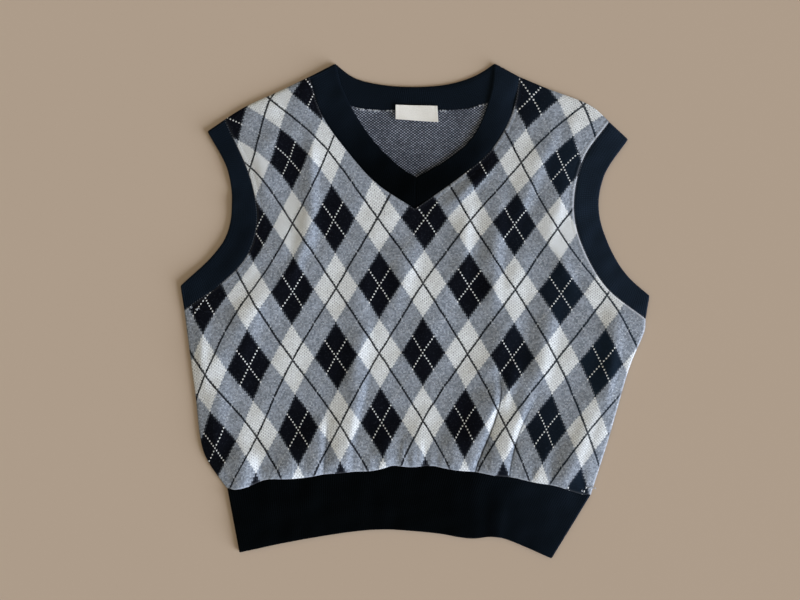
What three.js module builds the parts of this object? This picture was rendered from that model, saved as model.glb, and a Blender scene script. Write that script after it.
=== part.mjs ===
// A sleeveless V-neck pullover in jacquard knit with ribbed bands, lying flat with its front up.
// Millimetres. X runs across the body, Y from the hem to the neck, Z up from the surface it lies on.
// The back layer rests on the surface. The front layer lies on it, and the bands are rings that
// turn over from one layer to the other at the garment's outline.
import * as THREE from 'three';

// ---- Driving dimensions ----
const BACK_KNIT = 2.0;        // wall of the back panel
const FRONT_KNIT = 2.2;       // wall of the front panel
const RIB_WALL = 2.2;         // wall of the ribbed bands
const LAYER_GAP = 0.4;        // between a band's two layers
const PANEL_GAP = 0.3;        // between the two panels where they are sewn together
const SEAM_GAP = 0.3;         // between a panel and a band at their seam
const RIB_PITCH = 2.1;        // one rib and one furrow of the 1x1 rib
const RIB_DEPTH = 0.5;        // furrow depth
const HEM_ARCH = 0.5;         // the hem band's front layer bulges this much at half its depth
const SEAM_DROP = 0.5;        // the front sinks this much into a band seam
const EDGE_DROP = 1.2;        // and this much at the side and shoulder seams
const ROLL = 6.5;             // width of the rounded edge of the front
const MOST_LIFT = 3.6;        // most that a fold lifts the front off the back
const CREST_SHARE = 0.12;     // share of the lift that the wall gains on a crest and loses in a trough
const MEAN_LIFT = 1.4;
const INSIDE_REACH = 9;       // the inside dips to its lowest this far to either side
const LABEL_WALL = 1.0;
const LABEL_RIPPLE = 0.35;

// How finely the panels and bands are divided
const SIDE_ROWS = 15;         // rows from the hem to the underarm
const ARM_ROWS = 22;          // rows from the underarm to the shoulder
const V_ROW = 23;             // the row that reaches the point of the V
const BACK_NECK_ROW = 30;     // the row that reaches the middle of the back neck
const HALF_COLUMNS = 22;      // columns in each half of the front's face
const INSIDE_COLUMNS = 11;    // columns in each half of the front's inside
const BACK_COLUMNS = 4;       // columns in each half of the back, which is flat
const FOLD_STEPS = 5;         // steps round the turn of a band

// ---- Edges and seams, each a short run of points for a smooth curve ----
const NECK_SEAM_LEFT = [
  { x: -106, y: 234.6 }, { x: -93.5, y: 196.5 }, { x: -68, y: 160 }, { x: -38.5, y: 127.5 },
  { x: 0, y: 102 },
];
const NECK_SEAM_RIGHT = [
  { x: 0, y: 102 }, { x: 48, y: 136.3 }, { x: 77.4, y: 162 }, { x: 98, y: 199 }, { x: 104.5, y: 234.6 },
];
const NECK_EDGE_LEFT = [
  { x: -79.5, y: 248 }, { x: -72.2, y: 221.4 }, { x: -47.3, y: 178 }, { x: -22.3, y: 150.5 },
  { x: 1, y: 133.4 },
];
const NECK_EDGE_RIGHT = [
  { x: 1, y: 133.4 }, { x: 43.7, y: 159.8 }, { x: 62, y: 181 }, { x: 76, y: 219 }, { x: 79.6, y: 248 },
];
const BACK_NECK_SEAM = [
  { x: -92, y: 219 }, { x: -60, y: 204 }, { x: 0, y: 201.5 }, { x: 60, y: 204 }, { x: 91, y: 219 },
];
const BACK_NECK_EDGE = [
  { x: -79.5, y: 248 }, { x: -62, y: 234 }, { x: -37, y: 227.3 }, { x: 0, y: 224.6 },
  { x: 37, y: 228 }, { x: 62, y: 236.5 }, { x: 79.6, y: 248 },
];
const ARM_SEAM_LEFT = [
  { x: -231, y: 0.5 }, { x: -191.7, y: 29 }, { x: -167.8, y: 55.3 }, { x: -158, y: 88 },
  { x: -163.6, y: 129.6 }, { x: -190.3, y: 192 },
];
const ARM_SEAM_RIGHT = [
  { x: 231, y: -8 }, { x: 191, y: 24 }, { x: 167, y: 66 }, { x: 158.8, y: 101.7 },
  { x: 168, y: 151.5 }, { x: 194.5, y: 189.6 },
];
const ARM_EDGE_LEFT = [
  { x: -235, y: 25 }, { x: -203, y: 55 }, { x: -189, y: 75 }, { x: -183.3, y: 104 },
  { x: -187.5, y: 141 }, { x: -208, y: 180 },
];
const ARM_EDGE_RIGHT = [
  { x: 235, y: 15 }, { x: 211, y: 37 }, { x: 191, y: 73 }, { x: 183.7, y: 106 },
  { x: 190, y: 137 }, { x: 213.5, y: 172 },
];
const SIDE_LEFT = [
  { x: -188, y: -178 }, { x: -211, y: -143 }, { x: -220, y: -83 }, { x: -231, y: 0.5 },
];
const SIDE_RIGHT = [
  { x: 176, y: -184 }, { x: 193, y: -131 }, { x: 216, y: -53 }, { x: 231, y: -17 }, { x: 231, y: -8 },
];
const SHOULDER_LEFT = [
  { x: -190.3, y: 192 }, { x: -171, y: 204 }, { x: -132, y: 222 }, { x: -106, y: 234.6 },
];
const SHOULDER_RIGHT = [
  { x: 194.5, y: 189.6 }, { x: 177, y: 205 }, { x: 132, y: 223 }, { x: 104.5, y: 234.6 },
];
const HEM_EDGE = [
  { x: -176, y: -242 }, { x: -123, y: -230.6 }, { x: -62, y: -221 }, { x: -30, y: -218.8 },
  { x: 24, y: -223 }, { x: 56, y: -228 }, { x: 82, y: -226.2 }, { x: 110, y: -236 }, { x: 137, y: -248 },
];

// The hem seam from left to right: each lobe is a puff of the gathered front, low at its middle
// and drawn up by `tuck` at its right-hand end
const HEM_LOBES = [
  { x: -188, y: -178, sag: 0, tuck: 0 },
  { x: -150, y: -168, sag: 3.0, tuck: 1.5 },
  { x: -88, y: -162.5, sag: 2.5, tuck: 1.2 },
  { x: -62, y: -160, sag: 1.0, tuck: 1.0 },
  { x: -22, y: -154.0, sag: 2.5, tuck: 1.0 },
  { x: 16, y: -154.5, sag: 1.8, tuck: 1.6 },
  { x: 62, y: -160.5, sag: 1.6, tuck: 1.0 },
  { x: 97, y: -165.5, sag: 1.4, tuck: 1.0 },
  { x: 140, y: -173.5, sag: 1.4, tuck: 0.6 },
  { x: 176, y: -184, sag: 1.0, tuck: 0 },
];

// Folds and soft waves of the front: a ridge (or, with a negative rise, a trough) from its lower to
// its upper end. `wide` is its half width and `lean` above 0 makes its right-hand side the steep one.
const FOLDS = [
  { x0: 53, y0: -168, x1: 76, y1: -84, rise: 3.4, wide: 12, lean: 0.6 },
  { x0: 66, y0: -166, x1: 90, y1: -96, rise: -1.8, wide: 8, lean: 0 },
  { x0: 86, y0: -170, x1: 113, y1: -114, rise: 2.8, wide: 10, lean: 0.4 },
  { x0: 103, y0: -172, x1: 122, y1: -128, rise: -1.5, wide: 7, lean: 0 },
  { x0: -100, y0: -170, x1: -93, y1: -118, rise: 3.0, wide: 12, lean: 0.6 },
  { x0: -84, y0: -166, x1: -83, y1: -122, rise: -1.6, wide: 9, lean: 0 },
  { x0: -62, y0: -152, x1: -42, y1: -64, rise: 1.9, wide: 14, lean: 0.2 },
  { x0: -168, y0: -172, x1: -176, y1: -120, rise: 2.4, wide: 14, lean: 0.2 },
  { x0: -149, y0: -170, x1: -164, y1: -146, rise: -2.0, wide: 8, lean: 0 },
  { x0: -128, y0: -170, x1: -128, y1: -130, rise: 1.6, wide: 12, lean: 0 },
  { x0: -30, y0: -160, x1: -26, y1: -118, rise: 1.5, wide: 11, lean: 0 },
  { x0: -2, y0: -160, x1: 4, y1: -108, rise: 1.9, wide: 12, lean: 0 },
  { x0: 34, y0: -162, x1: 38, y1: -122, rise: 1.3, wide: 11, lean: 0 },
  { x0: 128, y0: -176, x1: 152, y1: -100, rise: 2.3, wide: 13, lean: 0.2 },
  { x0: 160, y0: -182, x1: 186, y1: -112, rise: 2.0, wide: 11, lean: 0.3 },
  { x0: -196, y0: -96, x1: -192, y1: 6, rise: 1.3, wide: 18, lean: 0 },
  { x0: -60, y0: 20, x1: -104, y1: 132, rise: 1.2, wide: 20, lean: 0 },
  { x0: 20, y0: -30, x1: 66, y1: 82, rise: 1.1, wide: 22, lean: 0 },
  { x0: 104, y0: -40, x1: 128, y1: 92, rise: 1.2, wide: 20, lean: 0 },
  { x0: -148, y0: 40, x1: -136, y1: 176, rise: 1.0, wide: 16, lean: 0 },
  { x0: 136, y0: 110, x1: 160, y1: 184, rise: 1.0, wide: 16, lean: 0 },
  { x0: 184, y0: -92, x1: 200, y1: -10, rise: 1.3, wide: 14, lean: 0 },
];

// ---- Heights above the surface ----
const BAND_MID = RIB_WALL + LAYER_GAP / 2;
const TURN_OUTER = BAND_MID;
const TURN_INNER = LAYER_GAP / 2;
const BAND_TOP = 2 * BAND_MID;
const FRONT_INSIDE = BACK_KNIT + PANEL_GAP;

// ---- Plane curves ----
function flat(points) {
  return points.map((p) => new THREE.Vector3(p.x, p.y, 0));
}

function spline(points, segments) {
  const curve = new THREE.CatmullRomCurve3(flat(points), false, 'centripetal');
  curve.arcLengthDivisions = 400;
  return curve.getSpacedPoints(segments);
}

function lengths(chain) {
  const sums = [0];
  for (let i = 1; i < chain.length; i += 1) sums.push(sums[i - 1] + chain[i].distanceTo(chain[i - 1]));
  return sums;
}

// The point a given distance along a polyline
function walk(chain, sums, distance) {
  let i = 1;
  while (i < chain.length - 1 && sums[i] < distance) i += 1;
  const share = (distance - sums[i - 1]) / (sums[i] - sums[i - 1]);
  return chain[i - 1].clone().lerp(chain[i], share);
}

// The same polyline moved sideways, to its left for a positive distance, with mitred corners
function offset(chain, distance) {
  const left = (a, b) => new THREE.Vector3(a.y - b.y, b.x - a.x, 0).normalize();
  return chain.map((point, i) => {
    const before = left(chain[Math.max(i - 1, 0)], chain[Math.max(i, 1)]);
    const last = chain.length - 1;
    const after = left(chain[Math.min(i, last - 1)], chain[Math.min(i + 1, last)]);
    const mitre = before.add(after);
    return point.clone().addScaledVector(mitre, (2 * distance) / mitre.lengthSq());
  });
}

// The hem seam: a sagging puff between each pair of tucks
function hemSeam() {
  const chain = [];
  for (let i = 0; i <= 2 * HALF_COLUMNS; i += 1) {
    const share = i / (2 * HALF_COLUMNS);
    const x = THREE.MathUtils.lerp(HEM_LOBES[0].x, HEM_LOBES[HEM_LOBES.length - 1].x, share);
    let k = 1;
    while (k < HEM_LOBES.length - 1 && HEM_LOBES[k].x < x) k += 1;
    const from = HEM_LOBES[k - 1];
    const to = HEM_LOBES[k];
    const s = (x - from.x) / (to.x - from.x);
    const line = THREE.MathUtils.lerp(from.y + from.tuck, to.y + to.tuck, s);
    chain.push(new THREE.Vector3(x, line - to.sag * Math.sin(Math.PI * s), 0));
  }
  return chain;
}

// ---- Seams that both neighbours share ----
const hemLine = hemSeam();
const armSeamLeft = spline(ARM_SEAM_LEFT, ARM_ROWS);
const armSeamRight = spline(ARM_SEAM_RIGHT, ARM_ROWS);
const neckRows = SIDE_ROWS + ARM_ROWS - V_ROW;
const neckSeamLeft = spline(NECK_SEAM_LEFT, neckRows);
const neckSeamRight = spline(NECK_SEAM_RIGHT, neckRows);
const backNeckSeam = backNeck();

// The back neck seam leaves each shoulder along the front neck seam, then turns to the back
function backNeck() {
  const turnLength = 5;
  const start = walk(neckSeamLeft, lengths(neckSeamLeft), turnLength);
  const end = walk([...neckSeamRight].reverse(), lengths([...neckSeamRight].reverse()), turnLength);
  const inner = 2 * (SIDE_ROWS + ARM_ROWS - BACK_NECK_ROW) - 2;
  const middle = spline([start, ...BACK_NECK_SEAM, end], inner);
  return [neckSeamLeft[0].clone(), ...middle, neckSeamRight[neckRows].clone()];
}

// ---- Height of the front layer ----
const SLACK = 0.7;
const HEM_ROLL = 1.5;
const LEAST_LIFT = 0.2;

function smooth(low, high, value) {
  return THREE.MathUtils.smoothstep(value, low, high);
}

// One fold's height at a point: a bell across, fading out beyond both ends
function foldHeight(fold, x, y) {
  const along = new THREE.Vector2(fold.x1 - fold.x0, fold.y1 - fold.y0);
  const length = along.length();
  along.normalize();
  const reach = (x - fold.x0) * along.x + (y - fold.y0) * along.y;
  const side = (x - fold.x0) * along.y - (y - fold.y0) * along.x;
  const width = side > 0 ? fold.wide * (1 - fold.lean) : fold.wide * (1 + 0.4 * fold.lean);
  const rising = smooth(-0.35 * length, 0.1 * length, reach);
  const dying = smooth(0.55 * length, 1.25 * length, reach);
  return fold.rise * rising * (1 - dying) * Math.exp(-((side / width) ** 2));
}

// How far the front lies above the back: slack in the body, fullest in a roll over the hem seam.
// `edge` is the distance to the nearest edge and `hem` the distance to the hem seam.
function lift(x, y, edge, hem) {
  let height = SLACK + HEM_ROLL * Math.exp(-(((hem - 17) / 17) ** 2));
  for (const fold of FOLDS) height += foldHeight(fold, x, y);
  height = Math.max(height, LEAST_LIFT);
  const bounded = height / (1 + (height / MOST_LIFT) ** 4) ** 0.25;
  return bounded * smooth(0, 2.6 * ROLL, edge);
}

// The outer edge of the front rounds down: more at the sides and shoulders than at a band seam
function roundOff(distance, drop) {
  const t = Math.min(distance / ROLL, 1);
  return drop * (1 - Math.sqrt(1 - (1 - t) ** 2));
}

// ---- Closed shells from chains of points ----
class Shell {
  constructor() {
    this.corners = [];
  }

  // The surface between two chains. Each chain is a list of { point, t }, with t rising along it,
  // and the face looks along (chain direction) x (from a to b).
  strip(a, b) {
    let i = 0;
    let j = 0;
    while (i < a.length - 1 || j < b.length - 1) {
      const nextA = i < a.length - 1 ? a[i + 1].t : Infinity;
      const nextB = j < b.length - 1 ? b[j + 1].t : Infinity;
      if (nextA <= nextB + 1e-9 && i < a.length - 1) {
        this.corners.push(a[i].point, a[i + 1].point, b[j].point);
        i += 1;
      } else {
        this.corners.push(a[i].point, b[j + 1].point, b[j].point);
        j += 1;
      }
    }
  }

  volume() {
    let sum = 0;
    for (let i = 0; i < this.corners.length; i += 3) {
      const [p, q, r] = this.corners.slice(i, i + 3);
      sum += p.dot(q.clone().cross(r)) / 6;
    }
    return sum;
  }

  mesh(name, colour, roughness) {
    const inward = this.volume() < 0;
    const positions = [];
    for (let i = 0; i < this.corners.length; i += 3) {
      const [p, q, r] = this.corners.slice(i, i + 3);
      const order = inward ? [p, r, q] : [p, q, r];
      for (const corner of order) positions.push(corner.x, corner.y, corner.z);
    }
    const geometry = new THREE.BufferGeometry();
    geometry.setAttribute('position', new THREE.Float32BufferAttribute(positions, 3));
    geometry.computeVertexNormals();
    const material = new THREE.MeshStandardMaterial({ color: colour, roughness, metalness: 0 });
    const made = new THREE.Mesh(geometry, material);
    made.name = name;
    return made;
  }
}

// ---- Panels ----
// Column places from an edge (0) to the inner end (1): two narrow ones for the rounded edge
function columnShares(count, width) {
  const first = 2.2 / width;
  const second = ROLL / width;
  const shares = [0, first];
  for (let k = 0; k <= count - 2; k += 1) shares.push(THREE.MathUtils.lerp(second, 1, k / (count - 2)));
  return shares;
}

// Row places from the hem (0): a rounded panel has narrow rows over the hem and under the shoulder
function rowPlaces(rows, rounded) {
  const places = [];
  for (let r = 0; r <= rows; r += 1) places.push(r);
  if (!rounded) return places;
  places.splice(1, 0, 0.25, 0.62);
  places.splice(places.length - 1, 0, rows - 0.6, rows - 0.22);
  return places;
}

// The point at a fractional place in a list
function between(list, place) {
  const i = Math.min(Math.floor(place), list.length - 2);
  return list[i].clone().lerp(list[i + 1], place - i);
}

// One half of a panel in the plane: for each row from the hem to the shoulder, a function from a
// share of the way across (0 at the side, 1 at the middle or the neck edge) to a point
function halfPanel(outer, inner, hem, shoulder, places) {
  const rows = outer.length - 1;
  const hemStraight = [outer[0], inner[0]];
  const topStraight = [outer[rows], inner[rows]];
  return places.map((place) => {
    const a = between(outer, place);
    const b = between(inner, place);
    const hemPull = Math.max(0, 1 - place / 9) ** 2;
    const topPull = Math.max(0, 1 - (rows - place) / 7) ** 2;
    return (share) => {
      const point = a.clone().lerp(b, share);
      const hemBow = atShare(hem, share).sub(hemStraight[0].clone().lerp(hemStraight[1], share));
      const topBow = atShare(shoulder, share).sub(topStraight[0].clone().lerp(topStraight[1], share));
      return point.addScaledVector(hemBow, hemPull).addScaledVector(topBow, topPull);
    };
  });
}

function atShare(chain, share) {
  return between(chain, share * (chain.length - 1));
}

// Outer and inner edges of the four half panels
const centreFoot = hemLine[HALF_COLUMNS];
function centreLine(top, rows) {
  const chain = [];
  for (let r = 0; r <= rows; r += 1) chain.push(centreFoot.clone().lerp(top, r / rows));
  return chain;
}

function joined(first, second) {
  return [...first, ...second.slice(1)];
}

const sideLeft = spline(SIDE_LEFT, SIDE_ROWS);
const sideRight = spline(SIDE_RIGHT, SIDE_ROWS);
const outerLeft = joined(sideLeft, armSeamLeft);
const outerRight = joined(sideRight, armSeamRight);
const shoulderLeft = spline(SHOULDER_LEFT, HALF_COLUMNS);
const shoulderRight = spline(SHOULDER_RIGHT, HALF_COLUMNS);
const hemLeft = hemLine.slice(0, HALF_COLUMNS + 1);
const hemRight = hemLine.slice(HALF_COLUMNS).reverse();
const vPoint = neckSeamRight[0];
const frontMiddle = centreLine(vPoint, V_ROW);
const frontInnerLeft = joined(frontMiddle, [...neckSeamLeft].reverse());
const frontInnerRight = joined(frontMiddle, neckSeamRight);
const backHalf = (backNeckSeam.length - 1) / 2;
const backMiddle = centreLine(backNeckSeam[backHalf], BACK_NECK_ROW);
const backInnerLeft = joined(backMiddle, backNeckSeam.slice(0, backHalf + 1).reverse());
const backInnerRight = joined(backMiddle, backNeckSeam.slice(backHalf));

// A half panel's two faces as rows of chains, and its rims
function addHalf(shell, half, faces) {
  const { outer, inner, hem, shoulder, openFrom } = half;
  const places = rowPlaces(outer.length - 1, faces.rounded);
  const rows = halfPanel(outer, inner, hem, shoulder, places);
  const chainOf = (r, shares, height) => shares.map((t) => {
    const point = rows[r](t);
    point.z = height(point);
    return { point, t };
  });
  const evenShares = (count) => Array.from({ length: count + 1 }, (_, k) => k / count);
  const sharesAt = (r, count) => {
    const width = rows[r](0).distanceTo(rows[r](1));
    return faces.rounded ? columnShares(count, width) : evenShares(count);
  };
  const edgeRow = (r) => r === 0 || r === rows.length - 1;
  const topShares = (r) => (edgeRow(r) ? evenShares(HALF_COLUMNS) : sharesAt(r, faces.columns));
  const lowShares = (r) => (edgeRow(r) ? evenShares(HALF_COLUMNS) : sharesAt(r, faces.lowColumns));
  const tops = rows.map((_, r) => chainOf(r, topShares(r), faces.top));
  const lows = rows.map((_, r) => chainOf(r, lowShares(r), faces.low));
  const pieces = [];
  for (let r = 0; r < rows.length - 1; r += 1) {
    pieces.push([tops[r], tops[r + 1]]);
    pieces.push([lows[r + 1], lows[r]]);
  }
  const endOf = (chain, inner) => chain[inner ? chain.length - 1 : 0].point;
  const column = (chains, inner) => chains.map((chain, r) => ({ point: endOf(chain, inner), t: r }));
  pieces.push([lows[0], tops[0]]);
  pieces.push([tops[rows.length - 1], lows[rows.length - 1]]);
  pieces.push([column(tops, false), column(lows, false)]);
  const openRow = places.indexOf(openFrom);
  pieces.push([column(lows, true).slice(openRow), column(tops, true).slice(openRow)]);
  for (const [a, b] of pieces) {
    if (half.mirror) shell.strip(b, a);
    else shell.strip(a, b);
  }
}

function panel(name, colour, halves, faces) {
  const shell = new Shell();
  for (const half of halves) addHalf(shell, half, faces);
  return shell.mesh(name, colour, 0.95);
}

// Distances from a point of the front to its edges, by kind
function nearest(chain, point) {
  const here = new THREE.Vector3(point.x, point.y, 0);
  let best = Infinity;
  for (let i = 0; i < chain.length - 1; i += 1) {
    const segment = new THREE.Line3(chain[i], chain[i + 1]);
    const foot = segment.closestPointToPoint(here, true, new THREE.Vector3());
    best = Math.min(best, foot.distanceTo(here));
  }
  return best;
}

function frontEdges(point) {
  const hem = nearest(hemLine, point);
  const outline = Math.min(
    nearest(sideLeft, point),
    nearest(sideRight, point),
    nearest(shoulderLeft, point),
    nearest(shoulderRight, point),
  );
  const bands = Math.min(
    nearest(armSeamLeft, point),
    nearest(armSeamRight, point),
    nearest(neckSeamLeft, point),
    nearest(neckSeamRight, point),
  );
  return { hem, outline, bands };
}

function liftAt(point, shift) {
  const { hem, outline, bands } = frontEdges(point);
  return lift(point.x + shift, point.y, Math.min(hem * 1.8, outline, bands), hem);
}

// The inside has coarser columns than the face, so it keeps a little below the folds' own line
function frontInside(point) {
  const here = liftAt(point, 0);
  const lowest = Math.min(here, liftAt(point, -INSIDE_REACH), liftAt(point, INSIDE_REACH));
  return FRONT_INSIDE + (here + lowest) / 2;
}

function frontTop(point) {
  const { hem, outline, bands } = frontEdges(point);
  const drop = Math.max(roundOff(outline, EDGE_DROP), roundOff(bands, SEAM_DROP), roundOff(hem, SEAM_DROP));
  const here = liftAt(point, 0);
  const crest = CREST_SHARE * (here - MEAN_LIFT) * smooth(0, ROLL, Math.min(outline, bands));
  return FRONT_INSIDE + here + FRONT_KNIT + crest - drop;
}

const front = panel('front_panel', 0x9fa3a8, [
  { outer: outerLeft, inner: frontInnerLeft, hem: hemLeft, shoulder: shoulderLeft, openFrom: V_ROW },
  {
    outer: outerRight, inner: frontInnerRight, hem: hemRight, shoulder: shoulderRight, openFrom: V_ROW,
    mirror: true,
  },
], { top: frontTop, low: frontInside, columns: HALF_COLUMNS, lowColumns: INSIDE_COLUMNS, rounded: true });

const back = panel('back_panel', 0x555b66, [
  { outer: outerLeft, inner: backInnerLeft, hem: hemLeft, shoulder: shoulderLeft, openFrom: BACK_NECK_ROW },
  {
    outer: outerRight, inner: backInnerRight, hem: hemRight, shoulder: shoulderRight, openFrom: BACK_NECK_ROW,
    mirror: true,
  },
], { top: () => BACK_KNIT, low: () => 0, columns: BACK_COLUMNS, lowColumns: BACK_COLUMNS, rounded: false });

// ---- Bands ----
// A leg is one layer of a band between two turns. Its rungs run from the seam to the free edge.
function leg(seam, edge, options) {
  const { trimStart = 0, trimEnd = 0, layer, ribs } = options;
  const seamSums = lengths(seam);
  const edgeSums = lengths(edge);
  const seamLength = seamSums[seamSums.length - 1];
  const edgeLength = edgeSums[edgeSums.length - 1];
  const rung = (share) => {
    const along = (total) => trimStart + share * (total - trimStart - trimEnd);
    return {
      seam: walk(seam, seamSums, along(seamLength)),
      edge: walk(edge, edgeSums, along(edgeLength)),
    };
  };
  const knots = seamSums.map((s) => (s - trimStart) / (seamLength - trimStart - trimEnd));
  const inner = knots.filter((t) => t > 0.001 && t < 0.999);
  const count = Math.round((seamLength + edgeLength) / 2 / RIB_PITCH);
  return { rung, plain: [0, ...inner, 1], layer, ribs, count };
}

// Places along a ribbed face: a ridge and a furrow for each rib
function ribPlaces(count) {
  const places = [];
  for (let i = 0; i <= 2 * count; i += 1) places.push({ share: i / (2 * count), furrow: i % 2 === 1 });
  return places;
}

// A band is a ring of legs and turns. Chains run round it: the outer face from the seam to the free
// edge, then the inner face back to the seam.
function band(name, parts, acrossOuter) {
  const outerAt = acrossOuter.map((w) => ({ w, chain: [] }));
  const innerAt = [{ w: 1, chain: [] }, { w: 0, chain: [] }];
  let start = 0;
  for (const part of parts) {
    for (const line of outerAt) line.chain.push(...part.chain(line.w, true, start));
    for (const line of innerAt) line.chain.push(...part.chain(line.w, false, start));
    start += part.span;
  }
  const closed = (chain) => [...chain, { point: chain[0].point, t: start }];
  const chains = [...outerAt, ...innerAt].map((line) => closed(line.chain));
  const shell = new Shell();
  chains.forEach((chain, i) => shell.strip(chain, chains[(i + 1) % chains.length]));
  return shell.mesh(name, 0x14181f, 0.9);
}

// A straight layer: the front one has its outer face up, the back one its outer face down. Its last
// place is left to the part that follows.
function layerPart(source) {
  const { rung, plain, layer, ribs, count, arch = 0 } = source;
  const heights = layer === 'front'
    ? { outer: BAND_TOP, inner: BAND_MID + TURN_INNER }
    : { outer: 0, inner: RIB_WALL };
  const ribbed = (outer) => (outer ? ribs === 'outer' : ribs === 'inner');
  return {
    span: 1,
    chain(w, outer, start) {
      const height = outer ? heights.outer : heights.inner;
      const places = ribbed(outer) ? ribPlaces(count) : plain.map((share) => ({ share, furrow: false }));
      return places.slice(0, -1).map(({ share, furrow }) => {
        const { seam, edge } = rung(share);
        const point = seam.clone().lerp(edge, w);
        point.z = height - (furrow ? RIB_DEPTH : 0);
        if (outer) point.z += arch * Math.sin(Math.PI * w);
        return { point, t: start + share };
      });
    },
  };
}

// A turn carries the band round from one layer to the other, over a line across it
function turnPart(from, to, goingDown) {
  const a = from.rung(1);
  const b = to.rung(0);
  const before = from.rung(0.995);
  const after = to.rung(0.005);
  const onward = (key) => {
    const leaving = a[key].clone().sub(before[key]).normalize();
    const coming = b[key].clone().sub(after[key]).normalize();
    return leaving.add(coming).normalize();
  };
  const seamWay = onward('seam');
  const edgeWay = onward('edge');
  return {
    span: 0.2,
    chain(w, outer, start) {
      const radius = outer ? TURN_OUTER : TURN_INNER;
      const points = [];
      for (let i = 0; i < FOLD_STEPS; i += 1) {
        const share = i / FOLD_STEPS;
        const angle = Math.PI * (goingDown ? 0.5 - share : share - 0.5);
        const base = a.seam.clone().lerp(a.edge, w).lerp(b.seam.clone().lerp(b.edge, w), share);
        const outward = seamWay.clone().lerp(edgeWay, w);
        base.addScaledVector(outward, radius * Math.cos(angle));
        base.z = BAND_MID + radius * Math.sin(angle);
        points.push({ point: base, t: start + 0.2 * share });
      }
      return points;
    },
  };
}

// A flattened ring: the front layer, a turn, the back layer and the turn that closes it. `across`
// are the outer face's lines from seam to edge and `arch` is how much its middle bulges.
function flatRing(name, seam, edge, across, arch) {
  const ends = { trimStart: TURN_OUTER, trimEnd: TURN_OUTER };
  const upper = { ...leg(seam, edge, { ...ends, layer: 'front', ribs: 'outer' }), arch };
  const lower = leg([...seam].reverse(), [...edge].reverse(), { ...ends, layer: 'back', ribs: 'none' });
  const over = turnPart(upper, lower, true);
  const under = turnPart(lower, upper, false);
  return band(name, [layerPart(upper), over, layerPart(lower), under], across);
}

const armEdgeLeft = spline(ARM_EDGE_LEFT, ARM_ROWS);
const armEdgeRight = spline(ARM_EDGE_RIGHT, ARM_ROWS);
const hemEdge = spline(HEM_EDGE, HALF_COLUMNS * 2);
const armBandLeft = flatRing('arm_band_left', offset(armSeamLeft, SEAM_GAP), armEdgeLeft, [0, 1], 0);
const armBandRight = flatRing('arm_band_right', offset(armSeamRight, -SEAM_GAP), armEdgeRight, [0, 1], 0);
const hemBand = flatRing('hem_band', offset(hemLine, -SEAM_GAP), hemEdge, [0, 0.5, 1], HEM_ARCH);

// The neck band starts at the point of the V, climbs the left front, crosses the back neck and
// comes down the right front
function neckBand() {
  const frontSeam = offset([...neckSeamLeft, ...neckSeamRight.slice(1)], SEAM_GAP);
  const backSeam = offset(backNeckSeam, SEAM_GAP);
  const seamLeft = frontSeam.slice(0, neckRows + 1).reverse();
  const seamRight = frontSeam.slice(neckRows);
  const edgeLeft = spline(NECK_EDGE_LEFT, neckRows).reverse();
  const edgeRight = spline(NECK_EDGE_RIGHT, neckRows);
  const edgeBack = spline(BACK_NECK_EDGE, backNeckSeam.length - 1);
  const bothEnds = { trimStart: TURN_OUTER, trimEnd: TURN_OUTER };
  const left = leg(seamLeft, edgeLeft, { trimEnd: TURN_OUTER, layer: 'front', ribs: 'outer' });
  const across = leg(backSeam, edgeBack, { ...bothEnds, layer: 'back', ribs: 'inner' });
  const right = leg(seamRight.reverse(), edgeRight.reverse(), {
    trimStart: TURN_OUTER, layer: 'front', ribs: 'outer',
  });
  const parts = [
    layerPart(left), turnPart(left, across, true), layerPart(across), turnPart(across, right, false),
    layerPart(right),
  ];
  return band('neck_band', parts, [0, 1]);
}

// ---- Neck label ----
// A small woven tab over the back neck seam, its sides a little wavy
const LABEL_LEFT = [{ x: -19.4, y: 206.4 }, { x: -19.4, y: 192 }];
const LABEL_RIGHT = [{ x: 22.4, y: 205.3 }, { x: 23.4, y: 189 }];
function neckLabel() {
  const shell = new Shell();
  const [topLeft, lowLeft] = flat(LABEL_LEFT);
  const [topRight, lowRight] = flat(LABEL_RIGHT);
  const columns = 10;
  const rows = 2;
  const face = (height) => {
    const grid = [];
    for (let r = 0; r <= rows; r += 1) {
      const chain = [];
      for (let c = 0; c <= columns; c += 1) {
        const s = c / columns;
        const low = lowLeft.clone().lerp(lowRight, s);
        const point = low.lerp(topLeft.clone().lerp(topRight, s), r / rows);
        const ripple = LABEL_RIPPLE * (1 + Math.sin(7.5 * s + 0.8 * r));
        point.z = RIB_WALL + PANEL_GAP + ripple + height;
        chain.push({ point, t: s });
      }
      grid.push(chain);
    }
    return grid;
  };
  const tops = face(LABEL_WALL);
  const lows = face(0);
  const side = (grid, c) => grid.map((chain, r) => ({ point: chain[c].point, t: r }));
  for (let r = 0; r < rows; r += 1) {
    shell.strip(tops[r], tops[r + 1]);
    shell.strip(lows[r + 1], lows[r]);
  }
  shell.strip(lows[0], tops[0]);
  shell.strip(tops[rows], lows[rows]);
  shell.strip(side(tops, 0), side(lows, 0));
  shell.strip(side(lows, columns), side(tops, columns));
  return shell.mesh('neck_label', 0xe8e8e2, 0.7);
}

const vest = new THREE.Group();
vest.name = 'vest';
vest.add(front, back, neckBand(), armBandLeft, armBandRight, hemBand, neckLabel());

export default vest;
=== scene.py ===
# %% [markdown]
# # A knitted argyle vest, laid flat
#
# The vest is two jacquard-knit panels with ribbed bands at the neck, the armholes and the hem.
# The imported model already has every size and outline. This script reads the outlines off its
# solids, lays much finer cloth along them, and gives each yarn its own finish.

# %% Load the model that everything is fitted to
import math

import bmesh
import bpy
import numpy as np
from mathutils import Matrix, Vector


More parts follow.
